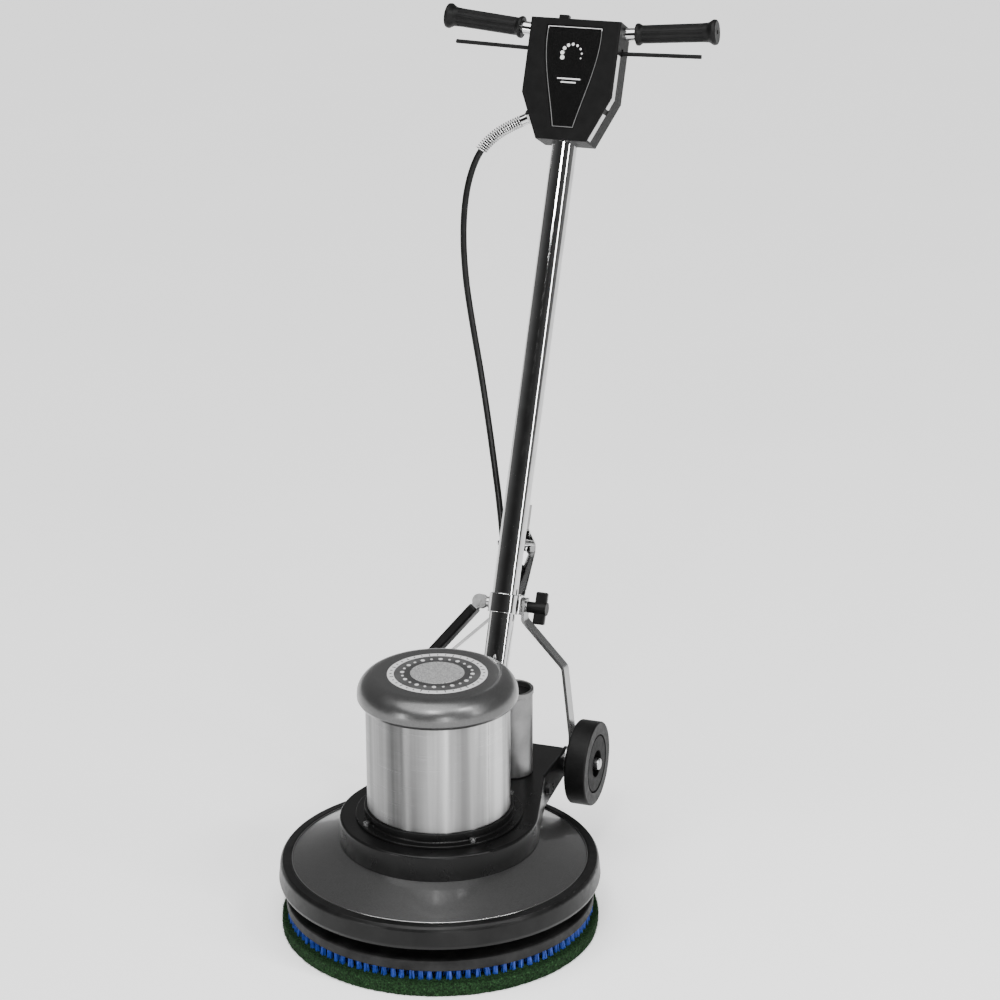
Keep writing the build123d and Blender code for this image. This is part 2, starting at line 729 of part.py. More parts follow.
def make_foot_sleeve():
    sleeve = rod_x(SLEEVE_RADIUS, -SLEEVE_HALF, SLEEVE_HALF, 0, 0)
    return HANDLE * (sleeve - rod_x(PIVOT_RADIUS + RUNNING_GAP, -120, 120, 0, 0))


def bar_path():
    rise = BAR_Z + BAR_RISE * BAR_HALF
    return FilletPolyline((-BAR_HALF, 0, rise), (0, 0, BAR_Z), (BAR_HALF, 0, rise), radius=60)


def make_handlebar():
    path = bar_path()
    section = Plane(origin=path @ 0, z_dir=path % 0) * (Circle(BAR_RADIUS) - Circle(BAR_RADIUS - BAR_WALL))
    return HANDLE * sweep(section, path=path)


def make_grip():
    bore = BAR_RADIUS + 0.05
    bar_end = (BAR_HALF - GRIP_START) * math.hypot(1, BAR_RISE) + 0.2
    outline = [
        (0, bar_end),
        (bore, bar_end),
        (bore, 0),
        (18.5, 0),
        (18.5, 5),
        (15.2, 10),
        (15.6, GRIP_LENGTH - 26),
        (16.4, GRIP_LENGTH - 14),
        (21.3, GRIP_LENGTH - 6),
        (20.5, GRIP_LENGTH),
        (0, GRIP_LENGTH),
    ]
    grip = turned(*outline, radii=[0, 0, 0, 2.0, 2.0, 3.0, 20.0, 8.0, 3.0, 2.5, 0])
    ribs = 16
    for i in range(ribs):
        turn = math.radians(360 / ribs * i)
        x = 16.5 * math.cos(turn)
        y = 16.5 * math.sin(turn)
        groove = rod(1.9, 14, GRIP_LENGTH - 22, x, y)
        grip -= groove
    grip -= rod(4.0, GRIP_LENGTH - 2, GRIP_LENGTH + 1)
    slope = math.degrees(math.atan(BAR_RISE))
    place = Pos(GRIP_START, 0, BAR_Z + BAR_RISE * GRIP_START) * Rot(Y=90 - slope)
    return HANDLE * place * grip


# ---- switch box ----
def box_outline(inset):
    points = [
        (-BOX_HALF, BOX_TOP),
        (BOX_HALF, BOX_TOP),
        (BOX_HALF, BOX_CORNER_Z),
        (BOX_FOOT_HALF, BOX_BOTTOM),
        (-BOX_FOOT_HALF, BOX_BOTTOM),
        (-BOX_HALF, BOX_CORNER_Z),
    ]
    face = make_face(Polyline(*points, close=True))
    return offset(face, -inset, kind=Kind.INTERSECTION) if inset else face


def box_prism(inset, front, rear):
    face = Plane.XZ * box_outline(inset)
    return Pos(0, rear, 0) * extrude(face, rear - front, dir=(0, -1, 0))


def box_cutouts():
    """Holes that both shells share: the tube, the handlebar, the lever slots and the button."""
    holes = rod(TUBE_RADIUS + 0.15, BOX_BOTTOM - 5, BOX_BOTTOM + 20)
    path = bar_path()
    section = Plane(origin=path @ 0, z_dir=path % 0) * Circle(BAR_RADIUS + 0.15)
    holes += sweep(section, path=path)
    lever_mid = LEVER_Z + LEVER_RISE * BOX_HALF
    for side in (-1, 1):
        inner = side * (BOX_HALF - 8)
        outer = side * (BOX_HALF + 5)
        holes += block(min(inner, outer), max(inner, outer), -4.6, 4.6, lever_mid - 4.6, lever_mid + 7.8)
    holes += block(BUTTON_X - 8.7, BUTTON_X + 8.7, BUTTON_Y - 5.7, BUTTON_Y + 5.7, BOX_TOP - 6, BOX_TOP + 1)
    return holes


def window_outline():
    """The recessed window: wide at the top, its sides bowing in to a narrow foot."""
    half = [(48.5, 1252.0), (44.5, 1188.0), (32.5, 1135.0), (19.5, 1080.0)]
    right = Spline(*half)
    left = Spline(*[(-x, z) for x, z in half])
    top = Line(left @ 0, right @ 0)
    foot = Line(left @ 1, right @ 1)
    return make_face(Curve() + [right, foot, left, top])


def side_tabs():
    """Two small lugs of the cover that break the gasket below the box's lower corners."""
    ring = box_prism(GASKET_INSET + 0.3, COVER_BACK - 0.5, SHELL_SPLIT - 0.2)
    ring -= box_prism(GASKET_DEPTH, COVER_BACK - 1, SHELL_SPLIT)
    return ring & block(-100, 100, -60, 60, TAB_LOW_Z, TAB_HIGH_Z)


def make_switch_box_front():
    """The cover: a thick face, deep walls above and below the gasket, and a window recess."""
    shell = box_prism(0, BOX_FRONT, SHELL_SPLIT)
    front_edges = shell.edges().group_by(Axis.Y)[0]
    shell = fillet(front_edges, 2.5)
    shell -= box_prism(BOX_WALL, COVER_BACK, SHELL_SPLIT + 1)
    shell -= block(-100, 100, COVER_BACK, 10, GASKET_FOOT, GASKET_TOP)
    shell += side_tabs()
    window = Pos(0, BOX_FRONT + WINDOW_DEPTH, 0) * extrude(Plane.XZ * window_outline(), 10, dir=(0, -1, 0))
    return HANDLE * (shell - window - box_cutouts()) - gland_rod(9.0, -34, -8)


def make_switch_box_rear():
    shell = box_prism(0, SHELL_SPLIT, BOX_REAR)
    rear_edges = shell.edges().group_by(Axis.Y)[-1]
    shell = fillet(rear_edges, 2.5)
    shell -= box_prism(BOX_WALL, SHELL_SPLIT - 1, BOX_REAR - BOX_WALL)
    pin_z = LEVER_Z + LEVER_RISE * LEVER_PIVOT_X
    for side in (-1, 1):
        shell += rod_y(3.0, -10, BOX_REAR - BOX_WALL + 1, side * LEVER_PIVOT_X, pin_z)
    shell -= box_cutouts() + rod_y(8.05, BOX_REAR - 6, BOX_REAR + 2, MAINS_X, MAINS_Z)
    return HANDLE * shell - gland_rod(9.0, -34, -8)


def make_box_gasket():
    """Four lengths of seal up the box's sides, between the cover's deep foot and top."""
    ring = box_prism(GASKET_INSET, COVER_BACK + 0.05, SHELL_SPLIT - 0.05)
    ring -= box_prism(GASKET_DEPTH, COVER_BACK - 1, SHELL_SPLIT + 1)
    ring -= block(-100, 100, -40, 40, GASKET_TOP - 0.1, BOX_TOP + 10)
    ring -= block(-100, 100, -40, 40, BOX_BOTTOM - 10, GASKET_FOOT + 0.1)
    ring -= block(-35, 35, -40, 40, BOX_BOTTOM - 10, BOX_BOTTOM + 15)
    ring -= block(-100, 100, -40, 40, TAB_LOW_Z - 0.1, TAB_HIGH_Z + 0.1)
    return HANDLE * (ring - box_cutouts()) - gland_rod(9.0, -34, -8)


SCREW_SPOTS = [(-66, 1250), (66, 1250), (-66, 1150), (66, 1150), (-38, 1070), (38, 1070)]


def make_box_screws():
    """Pan-head screws in the rear shell's face."""
    screws = Part()
    for x, z in SCREW_SPOTS:
        head = rod_y(4.2, BOX_REAR + 0.02, BOX_REAR + 2.4, x, z)
        head -= Pos(x, BOX_REAR + 2.4, z) * Box(5.0, 2.0, 1.0)
        head -= Pos(x, BOX_REAR + 2.4, z) * Box(1.0, 2.0, 5.0)
        screws += head
    return HANDLE * screws


MAINS_X = 0.0
MAINS_Z = 1085.0


def make_mains_gland():
    """The mains cord's gland in the back of the box, without its cord."""
    gland = rod_y(8.0, BOX_REAR - 5, BOX_REAR + 1, MAINS_X, MAINS_Z)
    nut = Pos(MAINS_X, BOX_REAR + 0.1, MAINS_Z) * Rot(X=-90) * extrude(RegularPolygon(11, 6, major_radius=False), 8)
    gland += nut + rod_y(8.5, BOX_REAR + 7, BOX_REAR + 14, MAINS_X, MAINS_Z)
    return HANDLE * (gland - rod_y(5.2, BOX_REAR - 2, BOX_REAR + 20, MAINS_X, MAINS_Z))


def make_power_switch():
    """A pair of microswitches beside the tube, one under each lever's inner arm."""
    body = block(27.5, 46, -6, 8, 1178, 1203)
    body += block(29.5, 34.5, -1, 3, 1202, 1207)
    for z in (1184, 1197):
        body -= rod_y(1.6, -10, 10, 42, z)
    return HANDLE * (body + mirrored(body))


def gland_place():
    """The cable gland's axis is the cable's first run; it ends where the cable starts."""
    first = Vector(*CABLE_ROUTE[0])
    return Plane(origin=first, z_dir=(Vector(*CABLE_ROUTE[1]) - first).normalized())


def gland_rod(radius, start, end):
    place = gland_place()
    place.origin += place.z_dir * start
    return place * Cylinder(radius, end - start, align=CENTRE_BASE)


def make_motor_gland():
    face = -19.4
    gland = gland_rod(8.9, face - 10, face + 1) + gland_rod(11.2, face, face + 8) + gland_rod(9.6, face + 7, 0)
    nut = gland_place()
    nut.origin += nut.z_dir * face
    gland += nut * extrude(RegularPolygon(11.5, 6, major_radius=False), 6)
    return gland - gland_rod(4.0, face - 12, face + 12)


# ---- motor cable ----
def route_radii(points):
    """The largest tangent arc that both runs at each corner leave room for."""
    radii = []
    for before, here, after in zip(points, points[1:], points[2:]):
        first = Vector(*here) - Vector(*before)
        second = Vector(*after) - Vector(*here)
        turn = math.radians(first.get_angle(second))
        radii.append(0.45 * min(first.length, second.length) / math.tan(turn / 2))
    return radii


def route_tube(points, radii, outer, inner=0.0):
    path = FilletPolyline(*points, radius=radii)
    section = Circle(outer) - Circle(inner) if inner else Circle(outer)
    return sweep(Plane(origin=path @ 0, z_dir=path % 0) * section, path=path), path.length


def make_motor_cable():
    radii = route_radii(CABLE_ROUTE)
    cable, length = route_tube(CABLE_ROUTE, radii, CABLE_DIAMETER / 2)
    expected = math.pi * (CABLE_DIAMETER / 2) ** 2 * length
    print("cable length %.0f, volume %.0f, section x length %.0f" % (length, cable.volume, expected))
    print("cable radii", ["%.0f" % radius for radius in radii])
    return cable


def make_bend_spring():
    last = CABLE_ROUTE[SPRING_POINTS - 1]
    following = CABLE_ROUTE[SPRING_POINTS]
    end = tuple(between(a, b, SPRING_LAST_STEP) for a, b in zip(last, following))
    points = CABLE_ROUTE[:SPRING_POINTS] + [end]
    radii = route_radii(CABLE_ROUTE)[:SPRING_POINTS - 1]
    sleeve, _ = route_tube(points, radii, SPRING_RADIUS, SPRING_BORE)
    path = FilletPolyline(*points, radius=radii)
    tail = Plane(origin=path @ SPRING_END, z_dir=path % SPRING_END)
    return sleeve - tail * Cylinder(2 * SPRING_RADIUS, 30, align=CENTRE_BASE)


def cable_entry(radius, start, end):
    """A rod that carries on along the cable's last run, from its end into the tube."""
    before = Vector(*CABLE_ROUTE[-2])
    tip = Vector(*CABLE_ROUTE[-1])
    direction = (tip - before).normalized()
    place = Plane(origin=tip + direction * start, z_dir=direction)
    return place * Cylinder(radius, end - start, align=CENTRE_BASE)


def make_tube_grommet():
    """A rubber boot that leads the cable into the tube."""
    boot = cable_entry(BOOT_RADIUS, 0, 45) + cable_entry(BOOT_RADIUS + 1.4, 0, 6)
    below = block(-60, 60, -60, 60, BOOT_LOW_Z - 60, BOOT_LOW_Z)
    return boot - HANDLE * (rod(TUBE_RADIUS + 0.03, 0, 600) + below)


def make_strap():
    """A bent strip on the clamp's lug that runs up the back of the tube and guards the cable."""
    seat = TUBE_RADIUS + 0.4 + STRAP_THICKNESS / 2
    foot = COLLAR_Z + LUG_HALF_HEIGHT + 0.1 + STRAP_THICKNESS / 2
    points = [
        (27.0, foot),
        (48.0, foot),
        (75.0, 383.0),
        (72.0, 396.0),
        (seat, 417.0),
        (seat, 458.0),
    ]
    middle = (STRAP_LEFT + STRAP_RIGHT) / 2
    path = FilletPolyline(*[(middle, y, z) for y, z in points], radius=[5, 6, 9, 6])
    profile = Rectangle(STRAP_RIGHT - STRAP_LEFT, STRAP_THICKNESS)
    section = Plane(origin=path @ 0, x_dir=(1, 0, 0), z_dir=path % 0) * profile
    rivet = rod(4.0, foot + STRAP_THICKNESS / 2, foot + STRAP_THICKNESS / 2 + 2, 12, 36)
    return HANDLE * (sweep(section, path=path) + rivet)


# ---- clamp and braces ----
def make_collar():
    low = COLLAR_Z - COLLAR_HALF_HEIGHT
    high = COLLAR_Z + COLLAR_HALF_HEIGHT
    collar = rod(COLLAR_RADIUS, low, high)
    collar = fillet(collar.edges().filter_by(GeomType.CIRCLE), 1.2)
    for side in (-1, 1):
        inner = side * 3.0
        outer = side * EAR_HALF
        bottom = COLLAR_Z - LUG_HALF_HEIGHT
        lug = block(min(inner, outer), max(inner, outer), 12, LUG_REAR, bottom, bottom + 2 * LUG_HALF_HEIGHT)
        collar += fillet(lug.edges().filter_by(Axis.X).group_by(Axis.Y)[-1], 6.0)
    collar -= rod(TUBE_RADIUS + SLIDE_GAP, low - 1, high + 1)
    collar -= block(-3.0, 3.0, 10, CLAMP_Y + 20, low - 1, high + 1)
    return HANDLE * (collar - rod_x(CLAMP_BOLT + 0.05, -60, 60, CLAMP_Y, COLLAR_Z))


CAM_X = -51.0
CAM_PIN = 3.5
CAM_HEAD = 12.0
CAM_EYE = 6.0
CHEEK_INNER = 6.4
CHEEK_OUTER = 10.0
CHEEK_HALF_WIDTH = 5.5
CAM_GRIP_START = 13.0
CAM_GRIP_END = 158.0


def make_clamp_bolt():
    bolt = rod_x(CLAMP_BOLT, CAM_X - 6, 58, CLAMP_Y, COLLAR_Z)
    bolt += rod_x(CAM_EYE, CAM_X - CAM_EYE, CAM_X + CAM_EYE, CLAMP_Y, COLLAR_Z)
    bolt -= rod_y(CAM_PIN + RUNNING_GAP, CLAMP_Y - 20, CLAMP_Y + 20, CAM_X, COLLAR_Z)
    bolt += rod_x(9.0, BRACE_TOP_X + BRACE_THICKNESS + 0.2, BRACE_TOP_X + BRACE_THICKNESS + 2.0, CLAMP_Y, COLLAR_Z)
    saddle = CAM_X + CAM_HEAD + 0.3
    bolt += rod_x(9.0, saddle, -(BRACE_TOP_X + BRACE_THICKNESS + 0.2), CLAMP_Y, COLLAR_Z)
    return HANDLE * bolt


def lever_place():
    """The closed lever points down and outwards, in the plane of the braces."""
    outward = math.degrees(math.atan2(0.60, 0.80))
    return Pos(CAM_X, CLAMP_Y, COLLAR_Z) * Rot(Y=180 + outward)


def make_cam_lever():
    """Two round cheeks on a pin through the bolt's eye, and a flat arm inside the grip."""
    lever = Part()
    for inner, outer in ((-CHEEK_OUTER, -CHEEK_INNER), (CHEEK_INNER, CHEEK_OUTER)):
        lever += rod_y(CAM_HEAD, inner, outer, 0, 0)
        lever += block(-CHEEK_HALF_WIDTH, CHEEK_HALF_WIDTH, inner, outer, 0, 30)
    lever += block(-CHEEK_HALF_WIDTH, CHEEK_HALF_WIDTH, -CHEEK_OUTER, CHEEK_OUTER, 20, 36)
    lever += block(-3.0, 3.0, -8.0, 8.0, 34, 150)
    pin = rod_y(CAM_PIN, -CHEEK_OUTER - 2, CHEEK_OUTER + 2, 0, 0)
    return HANDLE * lever_place() * (lever + pin)


def make_cam_grip():
    gap = 0.05
    width = CHEEK_HALF_WIDTH + gap
    depth = CHEEK_OUTER + gap
    grip = block(-8.0, 8.0, -12.5, 12.5, CAM_GRIP_START, CAM_GRIP_END)
    grip = fillet(grip.edges(), 3.5)
    grip -= block(-width, width, -depth, depth, CAM_GRIP_START - 1, 36 + gap)
    return HANDLE * lever_place() * (grip - block(-3.0 - gap, 3.0 + gap, -8.0 - gap, 8.0 + gap, 30, 150 + gap))


def make_clamp_knob():
    """A two-winged knob on the threaded end of the cross bolt."""
    start = BRACE_TOP_X + BRACE_THICKNESS + 2.3
    end = 65.0
    knob = rod_x(9.5, start, end - 2, CLAMP_Y, COLLAR_Z) + rod_x(11.0, end - 17, end, CLAMP_Y, COLLAR_Z)
    wings = block(end - 21, end - 1.5, CLAMP_Y - 6.0, CLAMP_Y + 6.0, COLLAR_Z - 27, COLLAR_Z + 27)
    knob += fillet(wings.edges(), 3.0)
    return HANDLE * (knob - rod_x(CLAMP_BOLT + RUNNING_GAP, start - 1, end - 6, CLAMP_Y, COLLAR_Z))


def clamp_world():
    """Where the cross bolt's axis lies at rest."""
    lean = math.radians(LEAN)
    y = PIVOT_Y + COLLAR_Z * math.sin(lean) + CLAMP_Y * math.cos(lean)
    z = PIVOT_Z + COLLAR_Z * math.cos(lean) - CLAMP_Y * math.sin(lean)
    return y, z


def make_brace():
    """A flat strip from the cross bolt, bent out round the deck, down to an open eye on the axle."""
    bolt_y, bolt_z = clamp_world()
    length = math.hypot(bolt_y - AXLE_Y, bolt_z - AXLE_Z)
    swing = math.degrees(math.atan2(bolt_y - AXLE_Y, bolt_z - AXLE_Z))
    middle = BRACE_THICKNESS / 2
    points = [
        (BRACE_TOP_X + middle, length + 12.5),
        (BRACE_TOP_X + middle, length - 22),
        (BRACE_BEND_X, length * 0.625),
        (BRACE_FOOT_X + middle, 42),
        (BRACE_FOOT_X + middle, -12),
    ]
    path = FilletPolyline(*[(x, 0, z) for x, z in points], radius=[10, 14, 60])
    section = Plane(origin=path @ 0, x_dir=(0, 1, 0), z_dir=path % 0) * Rectangle(BRACE_WIDTH, BRACE_THICKNESS)
    strip = sweep(section, path=path)
    strip -= block(0, 200, -60, 60, -60, 0)
    eye = rod_x(BRACE_EYE_RADIUS, BRACE_FOOT_X, BRACE_FOOT_X + BRACE_THICKNESS, 0, 0)
    strip += eye
    strip -= rod_x(BRACE_EYE_HOLE, 100, 140, 0, 0)
    strip -= rod_x(CLAMP_BOLT + RUNNING_GAP, 0, 60, 0, length)
    return Pos(0, AXLE_Y, AXLE_Z) * Rot(X=-swing) * strip


# ---- levers and button ----
def make_lever():
    """One switch lever: a hub on the box's pin, a long rod out to the hand, a short inner arm."""
    hub_z = LEVER_Z + LEVER_RISE * LEVER_PIVOT_X
    tilt = math.degrees(math.atan(LEVER_RISE))
    place = Pos(LEVER_PIVOT_X, 0, hub_z) * Rot(Y=-tilt)
    reach = LEVER_TIP - LEVER_PIVOT_X
    arm = rod_x(LEVER_ROD, 0, reach, 0, 0)
    arm = fillet(arm.edges().group_by(Axis.X)[-1], 1.0)
    lever = arm + rod_y(8.0, -4.5, 4.5, 0, 0) + rod_x(LEVER_ROD, -20, 0, 0, 0)
    return HANDLE * place * (lever - rod_y(3.0 + RUNNING_GAP, -10, 10, 0, 0))


def make_lock_button():
    cap = block(BUTTON_X - 8.5, BUTTON_X + 8.5, BUTTON_Y - 5.5, BUTTON_Y + 5.5, BOX_TOP - 6, BOX_TOP + 7.5)
    cap = fillet(cap.edges().group_by(Axis.Z)[-1], 1.5)
    flange = block(BUTTON_X - 10.5, BUTTON_X + 10.5, BUTTON_Y - 5.5, BUTTON_Y + 8, BOX_TOP - 7, BOX_TOP - 4.5)
    return HANDLE * (cap + flange)


def make_nodes():
    tyre = make_tyre()
    wheel = make_wheel()
    can = make_can()
    grip = make_grip()
    lever = make_lever()
    brace = make_brace()
    nodes = {
        "pad": make_pad(),
        "bristles": make_bristles(),
        "driver_disc": make_driver_disc(),
        "carrier": make_carrier(),
        "apron": make_apron(),
        "bumper": make_bumper(),
        "gear_housing": make_gear_housing(),
        "gearbox_cover": make_gearbox_cover(),
        "housing_bolts": make_housing_bolts(),
        "ring_gear": make_ring_gear(),
        "lower_end_bell": make_lower_end_bell(),
        "upper_end_bell": make_upper_end_bell(),
        "stator": make_stator(),
        "stator_coils": make_stator_coils(),
        "motor_band": make_motor_band(),
        "motor_cap": make_motor_cap(),
        "rotor": make_rotor(),
        "motor_shaft": make_motor_shaft(),
        "cooling_fan": make_fan(),
        "bearings": make_bearings(),
        "capacitor_can_right": can,
        "capacitor_can_left": mirrored(can),
        "can_lids": make_can_lids(),
        "capacitors": make_capacitors(),
        "tyre_right": tyre,
        "tyre_left": mirrored(tyre),
        "wheel_right": wheel,
        "wheel_left": mirrored(wheel),
        "axle": make_axle(),
        "axle_hardware": make_axle_hardware(),
        "pivot_bolt": make_pivot_bolt(),
        "handle_tube": make_handle_tube(),
        "foot_sleeve": make_foot_sleeve(),
        "handlebar": make_handlebar(),
        "grip_right": grip,
        "grip_left": mirrored(grip),
        "switch_box_front": make_switch_box_front(),
        "switch_box_rear": make_switch_box_rear(),
        "box_gasket": make_box_gasket(),
        "box_screws": make_box_screws(),
        "power_switch": make_power_switch(),
        "mains_gland": make_mains_gland(),
        "motor_gland": make_motor_gland(),
        "bend_spring": make_bend_spring(),
        "motor_cable": make_motor_cable(),
        "tube_grommet": make_tube_grommet(),
        "cable_strap": make_strap(),
        "collar": make_collar(),
        "clamp_bolt": make_clamp_bolt(),
        "cam_lever": make_cam_lever(),
        "cam_grip": make_cam_grip(),
        "clamp_knob": make_clamp_knob(),
        "brace_right": brace,
        "brace_left": mirrored(brace),
        "lever_right": lever,
        "lever_left": mirrored(lever),
        "lock_button": make_lock_button(),
    }
    for index in range(PLANET_COUNT):
        nodes["planet_gear_%d" % (index + 1)] = make_planet(index)
    return nodes


def main():
    os.makedirs("parts", exist_ok=True)
    for name, shape in make_nodes().items():
        export_step(shape, os.path.join("parts", name + ".step"))


main()
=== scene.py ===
import json
import math

import bpy
import numpy as np
from mathutils import Matrix, Vector


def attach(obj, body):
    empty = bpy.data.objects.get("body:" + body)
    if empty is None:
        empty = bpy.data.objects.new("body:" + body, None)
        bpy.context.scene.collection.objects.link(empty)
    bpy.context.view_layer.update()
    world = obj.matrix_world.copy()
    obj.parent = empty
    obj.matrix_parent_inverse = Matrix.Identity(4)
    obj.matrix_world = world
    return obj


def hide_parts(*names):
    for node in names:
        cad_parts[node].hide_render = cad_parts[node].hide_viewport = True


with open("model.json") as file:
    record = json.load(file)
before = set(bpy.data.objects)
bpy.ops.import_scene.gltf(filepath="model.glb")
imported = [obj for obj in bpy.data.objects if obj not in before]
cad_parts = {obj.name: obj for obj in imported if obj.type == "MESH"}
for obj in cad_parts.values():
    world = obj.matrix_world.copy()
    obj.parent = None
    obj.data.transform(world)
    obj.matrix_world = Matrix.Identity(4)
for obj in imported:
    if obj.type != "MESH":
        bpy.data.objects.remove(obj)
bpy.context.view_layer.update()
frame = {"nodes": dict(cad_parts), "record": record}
rng = np.random.default_rng(20)

MM = 0.001
LEAN = math.radians(24.4)
HANDLE = Matrix.Translation((0, 0.1945, 0.162)) @ Matrix.Rotation(-LEAN, 4, "X")


# ---------------------------------------------------------------- materials
class Shader:
    """A small wrapper that builds one node material."""

    def __init__(self, name):
        self.material = bpy.data.materials.new(name)
        self.material.use_nodes = True
        self.tree = self.material.node_tree
        self.tree.nodes.clear()
        self.out = self.node("ShaderNodeOutputMaterial")
        self.bsdf = self.node("ShaderNodeBsdfPrincipled")
        self.link(self.bsdf.outputs[0], self.out.inputs["Surface"])
        self.coord = self.node("ShaderNodeTexCoord").outputs["Object"]
        self.height = None

    def node(self, kind, **settings):
        made = self.tree.nodes.new(kind)
        for key, value in settings.items():
            setattr(made, key, value)
        return made

    def link(self, a, b):
        self.tree.links.new(a, b)

    def stretched(self, scale):
        mapping = self.node("ShaderNodeMapping")
        mapping.inputs["Scale"].default_value = scale
        self.link(self.coord, mapping.inputs["Vector"])
        return mapping.outputs["Vector"]

    def noise(self, scale, detail=3.0, rough=0.5, stretch=None):
        made = self.node("ShaderNodeTexNoise")
        made.inputs["Scale"].default_value = scale
        made.inputs["Detail"].default_value = detail
        made.inputs["Roughness"].default_value = rough
        self.link(self.stretched(stretch) if stretch else self.coord, made.inputs["Vector"])
        return made.outputs["Fac"]

    def cells(self, scale):
        made = self.node("ShaderNodeTexVoronoi")
        made.inputs["Scale"].default_value = scale
        self.link(self.coord, made.inputs["Vector"])
        return made.outputs["Distance"]

    def ramp(self, source, low, high, a, b):
        """Maps source from low..high to a..b."""
        made = self.node("ShaderNodeMapRange")
        for key, value in (("From Min", low), ("From Max", high), ("To Min", a), ("To Max", b)):
            made.inputs[key].default_value = value
        self.link(source, made.inputs["Value"])
        return made.outputs["Result"]

    def colours(self, source, *stops):
        made = self.node("ShaderNodeValToRGB")
        ramp = made.color_ramp
        while len(ramp.elements) < len(stops):
            ramp.elements.new(0.5)
        for element, (position, colour) in zip(ramp.elements, stops):
            element.position = position
            element.color = (*colour, 1)
        self.link(source, made.inputs["Fac"])
        self.link(made.outputs["Color"], self.bsdf.inputs["Base Color"])

    def set(self, **values):
        for key, value in values.items():
            self.bsdf.inputs[key.replace("_", " ")].default_value = value

    def roughness(self, source, low, high):
        self.link(self.ramp(source, 0.3, 0.7, low, high), self.bsdf.inputs["Roughness"])

    def bump(self, source, strength, distance):
        made = self.node("ShaderNodeBump")
        made.inputs["Strength"].default_value = strength
        made.inputs["Distance"].default_value = distance
        self.link(source, made.inputs["Height"])
        if self.height:
            self.link(self.height, made.inputs["Normal"])
        self.height = made.outputs["Normal"]
        self.link(self.height, self.bsdf.inputs["Normal"])


def grey(v):
    return (v, v, v)


def simple(name, dark, light, metallic, rough, grain, grain_scale, specular=0.5, blotch=30):
    """Most surfaces: two close tones, uneven gloss and a fine grain."""
    s = Shader(name)
    s.colours(s.noise(blotch, 4), (0.35, dark), (0.65, light))
    s.set(Metallic=metallic, Specular_IOR_Level=specular)
    s.roughness(s.noise(blotch * 3, 5), rough[0], rough[1])
    if grain:
        s.bump(s.noise(grain_scale, 4, 0.6), grain, 0.0004)
    return s


def make_band_steel():
    """Brushed round the motor: gloss that spreads up and down, and long upright streaks in the colour that
    are partly the brushing's own tone and partly painted reflection streaks.
    """
    s = Shader("band_steel")
    brushing_and_reflection_streaks = s.noise(11, 4, 0.6, (1, 1, 0.03))
    # Painted reflection streaks: these light and dark upright bands in the colour stand partly for
    # reflections of the strip lights, as well as the brushing's tone.
    s.colours(brushing_and_reflection_streaks, (0.36, grey(0.10)), (0.45, grey(0.20)), (0.53, grey(0.30)), (0.64, grey(0.60)))
    s.set(Metallic=1.0, Anisotropic=0.9, Anisotropic_Rotation=0.25)
    tangent = s.node("ShaderNodeTangent", direction_type="RADIAL", axis="Z")
    s.link(tangent.outputs[0], s.bsdf.inputs["Tangent"])
    s.roughness(s.noise(60, 5, 0.65, (0.2, 0.2, 6)), 0.26, 0.36)
    s.bump(s.noise(200, 4, 0.6, (0.1, 0.1, 8)), 0.04, 0.0002)
    return s


